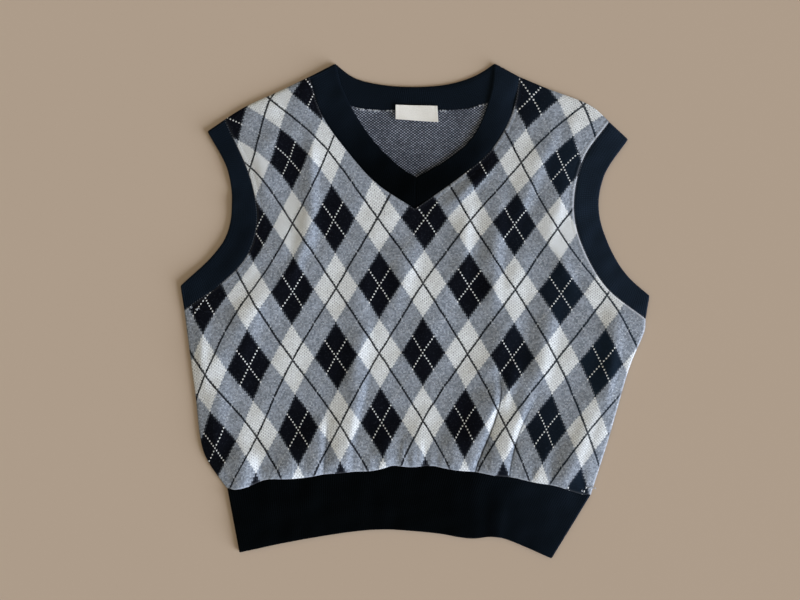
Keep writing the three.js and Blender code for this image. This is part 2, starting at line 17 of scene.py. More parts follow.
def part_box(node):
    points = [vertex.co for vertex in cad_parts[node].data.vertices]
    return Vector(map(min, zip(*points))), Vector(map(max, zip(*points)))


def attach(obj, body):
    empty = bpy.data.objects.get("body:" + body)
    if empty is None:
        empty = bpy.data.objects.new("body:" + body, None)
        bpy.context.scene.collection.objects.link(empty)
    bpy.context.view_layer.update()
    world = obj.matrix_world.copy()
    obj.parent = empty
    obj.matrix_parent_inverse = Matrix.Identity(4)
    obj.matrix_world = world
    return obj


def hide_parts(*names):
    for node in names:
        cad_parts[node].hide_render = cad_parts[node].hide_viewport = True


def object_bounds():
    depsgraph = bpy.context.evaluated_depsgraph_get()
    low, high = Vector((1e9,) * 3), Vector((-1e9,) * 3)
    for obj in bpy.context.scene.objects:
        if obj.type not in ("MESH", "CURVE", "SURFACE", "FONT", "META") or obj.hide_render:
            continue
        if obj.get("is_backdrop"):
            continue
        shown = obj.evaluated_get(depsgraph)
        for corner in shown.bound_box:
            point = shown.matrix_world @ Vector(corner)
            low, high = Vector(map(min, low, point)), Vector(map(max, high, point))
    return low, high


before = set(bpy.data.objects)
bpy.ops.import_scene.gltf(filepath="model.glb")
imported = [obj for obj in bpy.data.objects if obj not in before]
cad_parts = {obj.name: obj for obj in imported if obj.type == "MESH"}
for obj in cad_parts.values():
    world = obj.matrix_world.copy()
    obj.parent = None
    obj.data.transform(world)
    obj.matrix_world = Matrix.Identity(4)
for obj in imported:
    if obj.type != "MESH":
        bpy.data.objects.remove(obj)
model_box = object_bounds()
MM = 0.001
print("solids to dress:", ", ".join(sorted(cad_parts)))


# %% [markdown]
# ## Reading outlines off a solid
#
# The solids are coarse, but their edges lie where the real seams lie. Where an upright wall
# meets an upper face there is a rim, and walking from point to point along it gives a seam as
# a short run of points. Copying the numbers by hand would work too, but it would go wrong as
# soon as the model changed.

# %% Walk along the rims of a solid
def upper_rims(node, low, high):
    """Runs of points in mm, seen from above, where walls meet upper faces between two heights."""
    solid = bmesh.new()
    solid.from_mesh(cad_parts[node].data)
    bmesh.ops.remove_doubles(solid, verts=solid.verts, dist=1e-6)
    solid.normal_update()
    links = {}
    for edge in solid.edges:
        walls = sum(abs(face.normal.z) < 0.5 for face in edge.link_faces)
        heights = [vert.co.z / MM for vert in edge.verts]
        if walls == 1 and low < min(heights) and max(heights) < high:
            first, second = edge.verts
            links.setdefault(first, []).append(second)
            links.setdefault(second, []).append(first)
    runs = []
    while links:
        ends = [vert for vert, near in links.items() if len(near) == 1]
        here = ends[0] if ends else next(iter(links))
        run = []
        while here is not None:
            run.append((here.co.x / MM, here.co.y / MM))
            onward = [vert for vert in links.pop(here) if vert in links]
            here = onward[0] if onward else None
        runs.append(np.array(run))
    solid.free()
    return runs


def turned_clockwise(loop):
    """A closed run in clockwise order, seen from above."""
    x, y = loop.T
    area = np.sum(x * np.roll(y, -1) - y * np.roll(x, -1)) / 2
    return loop[::-1] if area > 0 else loop


def cut_at(loop, corners):
    """A closed run cut into the runs between its points nearest to the given corners."""
    places = [int(np.argmin(np.hypot(*(loop - corner).T))) for corner in corners]
    loop = np.roll(loop, -places[0], axis=0)
    places = [(place - places[0]) % len(loop) for place in places] + [len(loop)]
    closed = np.vstack([loop, loop[:1]])
    return [closed[a:b + 1] for a, b in zip(places[:-1], places[1:])]


def sharp_corners(loop, least_turn):
    """The points of a closed run where it turns by more than `least_turn` degrees."""
    before = loop - np.roll(loop, 1, axis=0)
    after = np.roll(loop, -1, axis=0) - loop
    turn = np.arctan2(after[:, 1], after[:, 0]) - np.arctan2(before[:, 1], before[:, 0])
    turn = np.abs((turn + math.pi) % (2 * math.pi) - math.pi)
    return loop[turn > math.radians(least_turn)]


FRONT_RIM_HEIGHTS, BACK_RIM_HEIGHTS = (2.5, 20), (1, 3)
CORNER_NAMES = [
    "left hem", "left underarm", "left shoulder", "left neck", "V", "right neck", "right shoulder",
    "right underarm", "right hem",
]
front_loop = turned_clockwise(upper_rims("front_panel", *FRONT_RIM_HEIGHTS)[0])
corners = sharp_corners(front_loop, least_turn=40)
corners = np.roll(corners, -int(np.argmin(corners.sum(axis=1))), axis=0)
for name, corner in zip(CORNER_NAMES, corners, strict=True):
    print(f"{name:15s} {corner[0]:7.1f} {corner[1]:7.1f} mm")


# %% [markdown]
# ## Smooth runs
#
# The rims are made of straight steps of about a centimetre. Cloth has no such steps, so each run
# is redrawn as a smooth curve through a few of its points, and then divided evenly. A
# Catmull-Rom curve passes through its own points, which keeps the seams where they were.

# %% Draw a smooth curve through a run
def resample(points, shares):
    """The points at given shares, 0 to 1, of a run's length."""
    reach = np.concatenate([[0], np.cumsum(np.hypot(*np.diff(points, axis=0).T))])
    return np.column_stack([np.interp(shares, reach / reach[-1], column) for column in points.T])


def run_length(points):
    return float(np.hypot(*np.diff(points, axis=0).T).sum())


def through_knots(knots, place):
    """A Catmull-Rom curve through rows of knots, read at places counted in knots from 0."""
    knots = np.vstack([2 * knots[0] - knots[1], knots, 2 * knots[-1] - knots[-2]])
    k = np.minimum(place.astype(int), len(knots) - 4)
    t = (place - k)[:, None]
    p, q, r, s = knots[k], knots[k + 1], knots[k + 2], knots[k + 3]
    curve = q + (r - p) * t / 2
    curve += (2 * p - 5 * q + 4 * r - s) * t**2 / 2
    curve += (3 * q - p - 3 * r + s) * t**3 / 2
    return curve


def smooth_run(points, spacing=10):
    """A smooth run through a point every `spacing` mm, given back as a point every mm."""
    spans = max(round(run_length(points) / spacing), 1)
    knots = resample(points, np.linspace(0, 1, spans + 1))
    curve = through_knots(knots, np.linspace(0, spans, 16 * spans + 1))
    return resample(curve, np.linspace(0, 1, round(run_length(curve)) + 1))


def distance_to(run, x, y):
    """The least distance in mm from each point to a run. A long run is read at every third point."""
    best = np.full(np.shape(x), np.inf)
    thin = run[::3] if len(run) > 60 else run
    thin = np.vstack([thin, run[-1:]])
    for (ax, ay), (bx, by) in zip(thin[:-1], thin[1:]):
        ux, uy = bx - ax, by - ay
        square = max(ux * ux + uy * uy, 1e-9)
        t = np.clip(((x - ax) * ux + (y - ay) * uy) / square, 0, 1)
        best = np.minimum(best, np.hypot(x - ax - t * ux, y - ay - t * uy))
    return best


def smooth_step(low, high, value):
    t = np.clip((value - low) / (high - low), 0, 1)
    return t * t * (3 - 2 * t)


def bell(value, middle, width):
    """From 1 at the middle down to nearly 0 at twice the width."""
    return np.exp(-(((value - middle) / width) ** 2))


raw_runs = cut_at(front_loop, corners)
side_left, arm_left, top_left, neck_left = (smooth_run(run) for run in raw_runs[:4])
neck_right, top_right, arm_right, side_right = (smooth_run(run) for run in raw_runs[4:8])
neck_left = neck_left[::-1]
top_right, arm_right, side_right = top_right[::-1], arm_right[::-1], side_right[::-1]
hem = smooth_run(raw_runs[8][::-1], spacing=8)
print(f"hem seam {run_length(hem):.0f} mm, left armhole {run_length(arm_left):.0f} mm")


# %% [markdown]
# ## A panel's net
#
# A knitted panel isn't a rectangle: its sides run out to the armholes, and its middle runs up to
# the V or to the back neck. Each half is a plain grid whose columns are pulled out to the side
# and in to the middle. The two halves are then welded down the centre. Columns and rows crowd
# together near the edges, where the cloth rolls over.

# %% Lay half a panel between its edges
# Levels count up a panel, from 0 at the hem. The hem's and the shoulder's own shapes fade out
# over this many of them.
UNDERARM, V_LEVEL, BACK_NECK_LEVEL, TOP_LEVEL = 15, 23, 30, 37
HEM_FADE, TOP_FADE = 9, 7


def crowded(count, share):
    """Shares from 0 to 1, closer together at both ends."""
    even = np.linspace(0, 1, count + 1)
    return even - share * np.sin(2 * math.pi * even) / (2 * math.pi)


def one_after_other(lower, upper, joint, levels):
    """Points up two runs in turn, which meet at the level `joint`."""
    first = resample(lower, np.clip(levels / joint, 0, 1))
    second = resample(upper, np.clip((levels - joint) / (TOP_LEVEL - joint), 0, 1))
    return np.where((levels <= joint)[:, None], first, second)


def bow(run, shares):
    """How far a run strays from the straight line between its ends."""
    straight = run[0] + (run[-1] - run[0]) * shares[:, None]
    return resample(run, shares) - straight


def half_net(outer, inner, foot, top, shares, levels):
    """Points of half a panel, (columns, rows, 2), from its side to its middle."""
    across = shares[:, None, None]
    net = outer * (1 - across) + inner * across
    near_hem = np.clip(1 - levels / HEM_FADE, 0, 1) ** 2
    near_top = np.clip(1 - (TOP_LEVEL - levels) / TOP_FADE, 0, 1) ** 2
    net += bow(foot, shares)[:, None] * near_hem[:, None]
    net += bow(top, shares)[:, None] * near_top[:, None]
    return net


middle = int(np.argmin(np.abs(hem[:, 0] - (hem[0, 0] + hem[-1, 0]) / 2)))
foot_left, foot_right = hem[:middle + 1], hem[middle:][::-1]


def panel_nets(collar_left, collar_right, collar_level, shares, levels):
    """The left and right nets of a panel whose middle reaches the neck at `collar_level`."""
    centre = np.vstack([hem[middle], collar_left[0]])
    nets = []
    for side, arm, foot, top, collar in (
        (side_left, arm_left, foot_left, top_left, collar_left),
        (side_right, arm_right, foot_right, top_right, collar_right),
    ):
        outer = one_after_other(side, arm, UNDERARM, levels)
        inner = one_after_other(centre, collar, collar_level, levels)
        nets.append(half_net(outer, inner, foot, top, shares, levels))
    return nets


def square_grid(cloth, points):
    """A grid of quads with a corner for each of an array's points, and each corner's index."""
    columns, rows = points.shape[0] - 1, points.shape[1] - 1
    made = bmesh.ops.create_grid(cloth, x_segments=columns, y_segments=rows, size=1)["verts"]
    return {v: (round((v.co.x + 1) / 2 * columns), round((v.co.y + 1) / 2 * rows)) for v in made}


def add_grid(cloth, points):
    """A flat grid of quads laid on an array of points, (columns, rows, 2), in mm."""
    for vert, index in square_grid(cloth, points).items():
        vert.co = (*(points[index] * MM), 0)


def flat_sheet(nets):
    """Both halves of a panel welded into one flat sheet that faces up."""
    cloth = bmesh.new()
    add_grid(cloth, nets[0])
    add_grid(cloth, nets[1][::-1])
    bmesh.ops.remove_doubles(cloth, verts=cloth.verts, dist=1e-6)
    print(f"sheet of {len(cloth.verts)} points, welded down the middle")
    return cloth


print(f"the halves meet at x = {hem[middle, 0]:.1f} mm")


# %% [markdown]
# ## Giving a sheet its thickness
#
# Knitting is about two millimetres thick, and its two faces look quite different: one shows the
# pattern and the other the backs of its yarns. A Solidify modifier would do, but it makes an even
# wall, and here the wall thins out at the seams. So the sheet is extruded in place: the copy
# becomes the upper face, the sheet itself is turned over as the lower face, and each gets its
# own height.

# %% Turn a flat sheet into cloth
def new_object(name, data):
    made = bpy.data.objects.new(name, data)
    bpy.context.scene.collection.objects.link(made)
    return made


def mesh_from(shape, name):
    """A mesh that takes over a finished bmesh."""
    mesh = bpy.data.meshes.new(name)
    shape.to_mesh(mesh)
    shape.free()
    return mesh


def mark_points(mesh, name, values):
    """Stores a number for every point, for a material to read."""
    mesh.attributes.new(name, "FLOAT", "POINT").data.foreach_set("value", np.float32(values))


def mark_knit(mesh, coordinates):
    """Stores the knit coordinates of every point as a UV map."""
    corner = np.empty(len(mesh.loops), dtype=np.int32)
    mesh.loops.foreach_get("vertex_index", corner)
    layer = mesh.uv_layers.new(name="knit")
    layer.data.foreach_set("uv", np.float32(coordinates[corner]).ravel())


def thick_cloth(name, cloth, form, knit):
    """An object with an upper and a lower face. `form` moves the points and `knit` maps them."""
    flat_count = len(cloth.verts)
    lower_faces = cloth.faces[:]
    bmesh.ops.extrude_face_region(cloth, geom=lower_faces, use_keep_orig=True)
    for face in lower_faces:
        face.material_index = 1
    mesh = mesh_from(cloth, name)
    points = np.empty(len(mesh.vertices) * 3)
    mesh.vertices.foreach_get("co", points)
    x, y = points.reshape(-1, 3).T[:2] / MM
    is_upper = np.arange(len(x)) >= flat_count
    placed, marks = form(x, y, is_upper)
    mesh.vertices.foreach_set("co", (placed * MM).ravel())
    mark_knit(mesh, knit(x, y))
    for label, values in marks.items():
        mark_points(mesh, label, values)
    mesh.shade_smooth()
    mesh.set_sharp_from_angle(angle=math.radians(60))
    print(f"{name}: {2 * len(mesh.polygons)} triangles, {placed[:, 2].max():.1f} mm high")
    return new_object(name, mesh)


# %% [markdown]
# ## How the front lies
#
# The front rests on the back with some slack between them. It is fullest just above the hem,
# where the gathered cloth puffs out over the ribbing, and there the slack is taken up in creases.
# A cloth simulation makes creases too, but not these ones, so each is listed one by one. Most are soft
# ridges or troughs, each with its own length, height, width and steep side. Four are sharp folds: a long
# slope, a ridge that may bend, and a short steep side that ends in a nick, where the cloth tucks under.

# %% Place the creases and folds of the front
CREASES = [
    # foot x, foot y, head x, head y, rise, half width, how steep its right side is (all in mm)
    # up from the hem
    (-168, -172, -178, -122, 4.0, 13, 0.2),
    (-150, -170, -160, -148, -3.6, 7, 0),
    (-128, -170, -128, -130, 2.8, 12, 0),
    (-30, -160, -26, -118, 2.6, 11, 0),
    (-2, -160, 4, -108, 3.4, 12, 0.2),
    (34, -162, 38, -122, 2.4, 11, 0),
    (122, -174, 130, -140, 2.6, 9, 0.3),
    (144, -176, 180, -100, 4.2, 12, 0.35),
    (186, -150, 200, -96, 3.0, 10, 0.35),
    # up the left side, from low to high
    (-200, -130, -192, -60, 2.4, 12, 0.3),
    (-212, -72, -154, 20, 2.4, 16, 0.4),
    (-218, -60, -208, 0, 2.0, 12, 0.5),
    (-172, -44, -154, 18, 3.6, 16, 0.5),
    (-138, 10, -130, 84, 2.6, 11, 0.35),
    (-136, 20, -128, 70, -1.8, 12, 0),
    (-124, 30, -102, 92, 3.4, 9, 0.4),
    (-104, 76, -103, 176, 3.6, 9, 0.4),
    (-160, 120, -140, 186, 1.8, 13, 0),
    # down the middle
    (-62, -64, -48, -8, 4.0, 11, 0.4),
    (-60, -10, -44, 74, 1.8, 16, 0.2),
    (-20, 10, 2, 70, 2.4, 12, 0.35),
    (-24, 60, 4, 4, 2.0, 13, 0.3),
    (10, -30, 42, 70, 2.0, 18, 0.2),
    # up the right side, from low to high
    (88, -92, 102, -46, 3.8, 9, 0.4),
    (108, -92, 128, -44, 3.0, 11, 0.3),
    (76, -60, 104, 0, 2.6, 12, 0.35),
    (128, -62, 138, 14, 4.0, 12, 0.4),
    (192, -80, 205, 10, 3.8, 11, 0.35),
    (84, -30, 104, 60, 2.0, 16, 0.2),
    (78, 16, 84, 116, 4.2, 11, 0.4),
    (48, 40, 54, 112, 3.0, 10, 0.4),
    (158, 20, 140, 66, 2.6, 9, 0.3),
    (134, 70, 150, 130, 2.4, 11, 0.35),
    (38, 108, 76, 146, 2.4, 8, 0.3),
    (104, 100, 142, 186, 3.0, 11, 0.4),
]
# each fold's nick depth also sets how dark the shade painted into its nick is
FOLDS = [
    # rise, reach to the left, steep side's width, depth of the nick (mm), points up the ridge
    (6.4, 20, 6.5, 1.6, [(51, -168), (60, -140), (71, -118), (77, -95), (76, -58)]),
    (5.2, 16, 6.5, 1.2, [(88, -172), (91, -146), (95, -128), (103, -110), (116, -84)]),
    (5.6, 16, 7.0, 0.8, [(-100, -174), (-98, -158), (-96, -142), (-95, -126), (-94, -104)]),
    (4.8, 18, 8.0, 0.2, [(-70, -152), (-66, -126), (-60, -100), (-55, -76), (-50, -48)]),
]
GATHERS = 46
print(f"{len(FOLDS)} folds, {len(CREASES)} creases and {GATHERS} gathers to shape")


# %% Shape the creases, folds and gathers
NICK_WIDTH = 1.8
SWELLS, FLATNESS = 26, 370


def crease_height(crease, x, y):
    """One crease: a bell across, which swells at its foot and dies away past its head."""
    foot_x, foot_y, head_x, head_y, rise, wide, lean = crease
    length = math.hypot(head_x - foot_x, head_y - foot_y)
    ux, uy = (head_x - foot_x) / length, (head_y - foot_y) / length
    along = (x - foot_x) * ux + (y - foot_y) * uy
    aside = (x - foot_x) * uy - (y - foot_y) * ux
    width = np.where(aside > 0, wide * (1 - lean), wide * (1 + 0.4 * lean))
    swelling = smooth_step(-0.35 * length, 0.1 * length, along)
    dying = smooth_step(0.55 * length, 1.25 * length, along)
    return rise * swelling * (1 - dying) * bell(aside, 0, width)


def fold_height(fold, x, y):
    """One sharp fold: its height, and a number that is nought along the nick at its foot."""
    rise, reach, steep, nick, points = fold
    points = np.array(points, dtype=float)
    line = np.polyfit(points[:, 1], points[:, 0], 3)
    lowest, highest = points[0, 1], points[-1, 1]
    inside = np.clip(y, lowest, highest)
    slope = np.polyval(np.polyder(line), inside)
    aside = (x - np.polyval(line, inside)) / np.sqrt(1 + slope**2)
    strength = smooth_step(lowest - 14, lowest + 4, y)
    strength *= 1 - smooth_step(0.3 * lowest + 0.7 * highest, highest + 6, y)
    left = bell(aside, 0, reach)
    right = 0.5 + 0.5 * np.cos(math.pi * np.clip(aside / steep, 0, 1))
    past = aside - steep
    height = rise * np.where(aside < 0, left, right) - nick * bell(past, 0, NICK_WIDTH)
    return height * strength, past / np.maximum(strength**2, 0.03)


def gathers():
    """Little tucks all along the hem seam, unevenly spaced, from a fixed seed."""
    random = np.random.default_rng(11)
    made = []
    for share in (np.arange(GATHERS) + random.uniform(-0.3, 0.3, GATHERS)) / GATHERS:
        x, y = resample(hem, np.array([min(max(share, 0.01), 0.99)]))[0]
        length = random.uniform(9, 26)
        drift = random.uniform(-5, 5)
        rise = random.choice([-1, 1]) * random.uniform(0.5, 1.4)
        made.append((x, y + 2, x + drift, y + 2 + length, rise, random.uniform(2.2, 3.8), 0))
    return made


def unevenness(x, y):
    """The slight swell and dip of loosely knitted cloth."""
    random = np.random.default_rng(5)
    height = np.zeros_like(x)
    for _ in range(SWELLS):
        angle, start = random.uniform(0, 2 * math.pi, 2)
        wave = random.uniform(16, 46)
        share = (x * math.cos(angle) + y * math.sin(angle)) / wave
        height += np.sin(2 * math.pi * share + start) * wave / FLATNESS
    return height


soft_creases = CREASES + gathers()
print(f"the front has {len(soft_creases)} soft creases, the gathers among them")


# %% [markdown]
# ## Where each stitch lies
#
# The pattern is knitted in, so it follows the wales (columns of stitches) and the courses (rows),
# and these bend with the cloth. Painting the pattern straight through from above would look
# printed on. Instead every point is given its place in the knitting, counted in pattern repeats,
# from the rows in which the dark diamonds lie. They spread over the chest and droop at the sides.
# The two sides of the vest lie differently, so each has its own short table of rows, from below
# the hem to above the shoulders, and they blend across the middle.

# %% Count every point in pattern repeats
REPEAT_WALES, REPEAT_COURSES = 50, 100
LEFT_ROWS = [
    # height, middle, spacing, crowding outwards, tilt down, curl down (mm, except the crowding)
    (-182, 13, 87, 0, 5, 1.0),
    (-110.5, 8, 83, 0, 4, 1.15),
    (-42, 8, 87, 0, 4, 0.9),
    (27, 8, 87, 0, 6.6, 0),
    (92.5, 10.5, 100, 0.1, 0, 1.7),
    (172, -9.5, 77.5, 0, 17.3, 0),
    (223, -10, 90, 0, 0, 3.6),
]
RIGHT_ROWS = [
    (-182, 13, 73, 0, 6, 0),
    (-110.5, 8, 82, 0, 7, 0),
    (-42, 8, 89, 0, 6.5, 0),
    (27, 8, 92, 0, 10, -0.6),
    (92.5, 10.5, 90, 0.015, 9.3, 0),
    (153.5, 21, 85, 0, 8.5, 0),
    (225, 14, 103, 0, 14, 1.1),
]
# The tables start at row -1, and row 0 lies about at FIRST_ROW. The search steps a little less
# than the gap between rows would allow, which keeps it steady.
LOWEST_ROW = -1
FIRST_ROW, ROW_GAP, ROW_STEP = -111, 66, 68
BLEND_LEFT, BLEND_RIGHT = -55, 65
BACK_REPEAT, BACK_START = (88, 134), -200


def diamond_row(table, level):
    """One side's measures at any level between its rows, as smooth curves through the table."""
    place = np.clip(level - LOWEST_ROW, 0, len(table) - 1.001)
    row = through_knots(np.array(table, dtype=float), place)
    row[:, 0] += ROW_GAP * (level - LOWEST_ROW - place)
    return row


def front_knit(x, y):
    """Repeats across and up the front. The level is guessed and then put right a little each time."""
    level = (y - FIRST_ROW) / ROW_GAP
    to_right = smooth_step(BLEND_LEFT, BLEND_RIGHT, x)[:, None]
    for _ in range(16):
        left, right = diamond_row(LEFT_ROWS, level), diamond_row(RIGHT_ROWS, level)
        height, middle = (left[:, :2] + (right[:, :2] - left[:, :2]) * to_right).T
        aside = x - middle
        spacing, crowding, tilt, curl = np.where(aside[:, None] < 0, left[:, 2:], right[:, 2:]).T
        out = np.abs(aside) / spacing
        out += crowding * out**2
        drop = tilt * out**2 / (out + 0.4) + curl * out**3
        level = level + (y + drop - height) / ROW_STEP
    return np.column_stack([np.sign(aside) * out, (level + 1) / 2])


def back_knit(x, y):
    """The back was knitted the same way and lies flat, so its repeats are even."""
    return np.column_stack([x / BACK_REPEAT[0], (y - BACK_START) / BACK_REPEAT[1]])


check = front_knit(np.array([8.0, 8.0]), np.array([-42.0, 27.0]))
print("the two middle diamonds are half a repeat apart:", np.round(check, 2).tolist())


# %% [markdown]
# ## The front panel
#
# The face rises from each seam over a few millimetres, as a thick knit does, and above the hem it
# rolls out over the ribbing. Along the neck and arm seams the linking pulls a groove, and the
# selvedge stands up beside it as a narrow roll.

# %% Make the front panel
# All in mm: the wall, the slack and the puff above the hem, how far an edge rounds down, how the
# cloth rolls over the hem band, and the selvedge and the groove beside a seam.
KNIT = 2.2
SLACK, HEM_PUFF, PUFF_PLACE, LEAST_LOFT, MOST_LOFT = 0.9, 2.6, 17, 0.2, 8.0
ROLL, SIDE_DROP, SEAM_DROP = 5.5, 1.5, 0.4
HEM_REACH, HEM_OVERHANG = 2.8, 3.0
EDGE_EASE, UNEVEN_EASE = 15, 20
SELVEDGE_RISE, SELVEDGE_PLACE, SELVEDGE_WIDTH = 0.12, 1.7, 1.2
GROOVE_DEPTH, GROOVE_PLACE, GROOVE_WIDTH = 0.15, 4.4, 0.9

front_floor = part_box("front_panel")[0].z / MM
band_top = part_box("arm_band_left")[1].z / MM


def rounded(distance, drop):
    """How far an edge has rounded down at a distance from it."""
    share = np.clip(distance / ROLL, 0, 1)
    return drop * (1 - np.sqrt(1 - (1 - share) ** 2))


def front_form(x, y, is_upper):
    """Where the front's points lie, and how far each is from the seams, edges and nicks."""
    to_hem = distance_to(hem, x, y)
    sides = [distance_to(run, x, y) for run in (side_left, side_right, top_left, top_right)]
    seams = [distance_to(run, x, y) for run in (arm_left, arm_right, neck_left, neck_right)]
    outline, seam = np.minimum.reduce(sides), np.minimum.reduce(seams)
    loft = SLACK + HEM_PUFF * bell(to_hem, PUFF_PLACE, PUFF_PLACE)
    for crease in soft_creases:
        loft += crease_height(crease, x, y)
    marks = {}
    for number, fold in enumerate(FOLDS):
        height, marks[f"nick {number}"] = fold_height(fold, x, y)
        loft += height
    loft = np.maximum(loft, LEAST_LOFT)
    loft = loft / (1 + (loft / MOST_LOFT) ** 4) ** 0.25
    loft *= smooth_step(0, EDGE_EASE, np.minimum(outline, seam)) * smooth_step(-4, 7, to_hem)
    face = front_floor + loft + KNIT - np.maximum(rounded(outline, SIDE_DROP), rounded(seam, SEAM_DROP))
    face += unevenness(x, y) * smooth_step(0, UNEVEN_EASE, np.minimum(outline, seam))
    face += SELVEDGE_RISE * bell(seam, SELVEDGE_PLACE, SELVEDGE_WIDTH)
    face -= GROOVE_DEPTH * bell(seam, GROOVE_PLACE, GROOVE_WIDTH)
    start = np.minimum(face, band_top + 0.1)
    face = start + (face - start) * (1 - np.exp(-to_hem / HEM_REACH))
    inside = np.maximum(np.minimum(face - KNIT, front_floor + loft), front_floor)
    spread = np.log(np.maximum(to_hem, 0.05) / 2)
    overhang = HEM_OVERHANG * bell(spread, 0, 1.2) * smooth_step(0, 8, outline)
    y = np.where(is_upper, y - overhang, y)
    z = np.where(is_upper, face, inside)
    marks.update({"seam": seam, "hem": to_hem, "side": sides[1]})
    return np.column_stack([x, y, z]), marks


front_levels = np.concatenate([
    UNDERARM * np.linspace(0, 1, 78)[:-1] ** 1.35,
    np.linspace(UNDERARM, V_LEVEL, 38)[:-1],
    V_LEVEL + (TOP_LEVEL - V_LEVEL) * (1 - np.linspace(1, 0, 66) ** 1.2),
])
front_nets = panel_nets(neck_left, neck_right, V_LEVEL, crowded(108, 0.62), front_levels)
front_cloth = thick_cloth("front_cloth", flat_sheet(front_nets), front_form, front_knit)


# %% [markdown]
# ## The back panel
#
# Only its inside shows, through the neck opening, with slight waves where it slumps. The outside lies flat
# on the surface and carries the same pattern. It has no folds, and its seams and sides get no fraying and no
# painted highlight, so the numbers that the front keeps for its finish are all far away here.

# %% Make the back panel
back_loop = turned_clockwise(upper_rims("back_panel", *BACK_RIM_HEIGHTS)[0])
back_corners = np.delete(corners, CORNER_NAMES.index("V"), axis=0)
back_collar = smooth_run(cut_at(back_loop, back_corners)[CORNER_NAMES.index("left neck")])
collar_middle = int(np.argmin(np.abs(back_collar[:, 0])))
back_collar_left = back_collar[:collar_middle + 1][::-1]
back_collar_right = back_collar[collar_middle:]
BACK_WAVE, FAR_AWAY = 0.55, 99.0
# where the waves begin and are full: mm from the neck seams, up from the middle, and out from it
FROM_SEAM, UPWARDS, SIDEWAYS = (10, 34), (60, 120), (150, 90)


def back_form(x, y, is_upper):
    """Where the back's points lie: flat below, and waved above round the neck opening."""
    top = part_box("back_panel")[1].z / MM
    waved = smooth_step(*UPWARDS, y) * smooth_step(*SIDEWAYS, np.abs(x))
    for seam in (neck_left, neck_right):
        waved *= smooth_step(*FROM_SEAM, distance_to(seam, x, y))
    waves = np.sin((x + 0.8 * y) / 11) + 0.7 * np.sin((x - 0.5 * y) / 17)
    z = np.where(is_upper, top + BACK_WAVE * waves * waved, 0)
    names = ["seam", "hem", "side"] + [f"nick {number}" for number in range(len(FOLDS))]
    return np.column_stack([x, y, z]), {name: np.full_like(x, FAR_AWAY) for name in names}


back_levels = np.concatenate([
    np.linspace(0, BACK_NECK_LEVEL, 84)[:-1],
    np.linspace(BACK_NECK_LEVEL, TOP_LEVEL, 20),
])
back_nets = panel_nets(
    back_collar_left, back_collar_right, BACK_NECK_LEVEL, crowded(60, 0.3), back_levels
)
back_cloth = thick_cloth("back_cloth", flat_sheet(back_nets), back_form, back_knit)


# %% [markdown]
# ## Ribbed bands
#
# Each band is a short tube of one-by-one rib, pressed flat, so that it runs along the front, folds
# over at the end and comes back behind. Its wall is closed too: the outer face runs from the seam
# to the free edge, and the inner face runs back. That makes every band one grid, joined to itself
# both ways like a ring. Ribs are in the mesh, four points to each, because they break up the edge.

# %% Read a band's two lines
TURN_LEAD = 1.4
SHORTEST_RIM, NEAR_SEAM_LINE = 8, 5


def trimmed(run, lead):
    """A run without its first and last few mm."""
    share = lead / run_length(run)
    inner = np.linspace(share, 1 - share, len(run))
    return resample(run, inner)


def place_along(line, point):
    """How far along a line, from 0 to 1, it passes nearest to a point."""
    return int(np.argmin(np.hypot(*(line - point).T))) / len(line)


def band_lines(node, seam_line, low, high):
    """A band's seam side and free side on one layer, both in the seam line's direction."""
    runs = []
    for run in (run for run in upper_rims(node, low, high) if len(run) > SHORTEST_RIM):
        onward = place_along(seam_line, run[0]) < place_along(seam_line, run[-1])
        runs.append(run if onward else run[::-1])
    runs.sort(key=lambda run: place_along(seam_line, run[0]))
    apart = [distance_to(seam_line, *run.T).mean() for run in runs]
    lines = [
        np.vstack([run for run, gap in zip(runs, apart) if gap < NEAR_SEAM_LINE]),
        np.vstack([run for run, gap in zip(runs, apart) if gap > NEAR_SEAM_LINE]),
    ]
    print(f"{node}: seam {run_length(lines[0]):.0f} mm, free edge {run_length(lines[1]):.0f} mm")
    return lines


# %% Set up the stations round a band
RIB = 2.1
FRONT_FACE, BACK_FACE = math.pi / 2, -math.pi / 2
TURN_STEPS, TURN_RIBS = 9, 3


def layer(seam, edge, angle, outer_ribs=0.0, inner_ribs=0.0):
    """Stations along one layer: four to a rib where it is ribbed, and one to a rib elsewhere."""
    ribs = round((run_length(seam) + run_length(edge)) / 2 / RIB)
    shares = np.linspace(0, 1, ribs * (4 if outer_ribs or inner_ribs else 1) + 1)
    flat = np.zeros((len(shares), 2))
    return {
        "seam": resample(seam, shares), "edge": resample(edge, shares), "ribs": shares * ribs,
        "angle": np.full(len(shares), angle), "seam_way": flat, "edge_way": flat,
        "outer_ribs": np.full(len(shares), outer_ribs), "inner_ribs": np.full(len(shares), inner_ribs),
    }


def unit(vector):
    return vector / np.hypot(*vector)


def turn(before, after):
    """Stations round the fold that leads from one layer to the next."""
    shares = np.linspace(0, 1, TURN_STEPS + 2)[1:-1, None]
    made = {}
    for side in ("seam", "edge"):
        made[side] = before[side][-1] * (1 - shares) + after[side][0] * shares
        leaving = unit(before[side][-1] - before[side][-4])
        coming = unit(after[side][0] - after[side][3])
        made[side + "_way"] = np.tile(unit(leaving + coming), (TURN_STEPS, 1))
    for part in ("angle", "outer_ribs", "inner_ribs"):
        start, end = before[part][-1], after[part][0]
        made[part] = start + (end - start) * shares[:, 0]
    made["ribs"] = before["ribs"][-1] + TURN_RIBS * shares[:, 0]
    return made


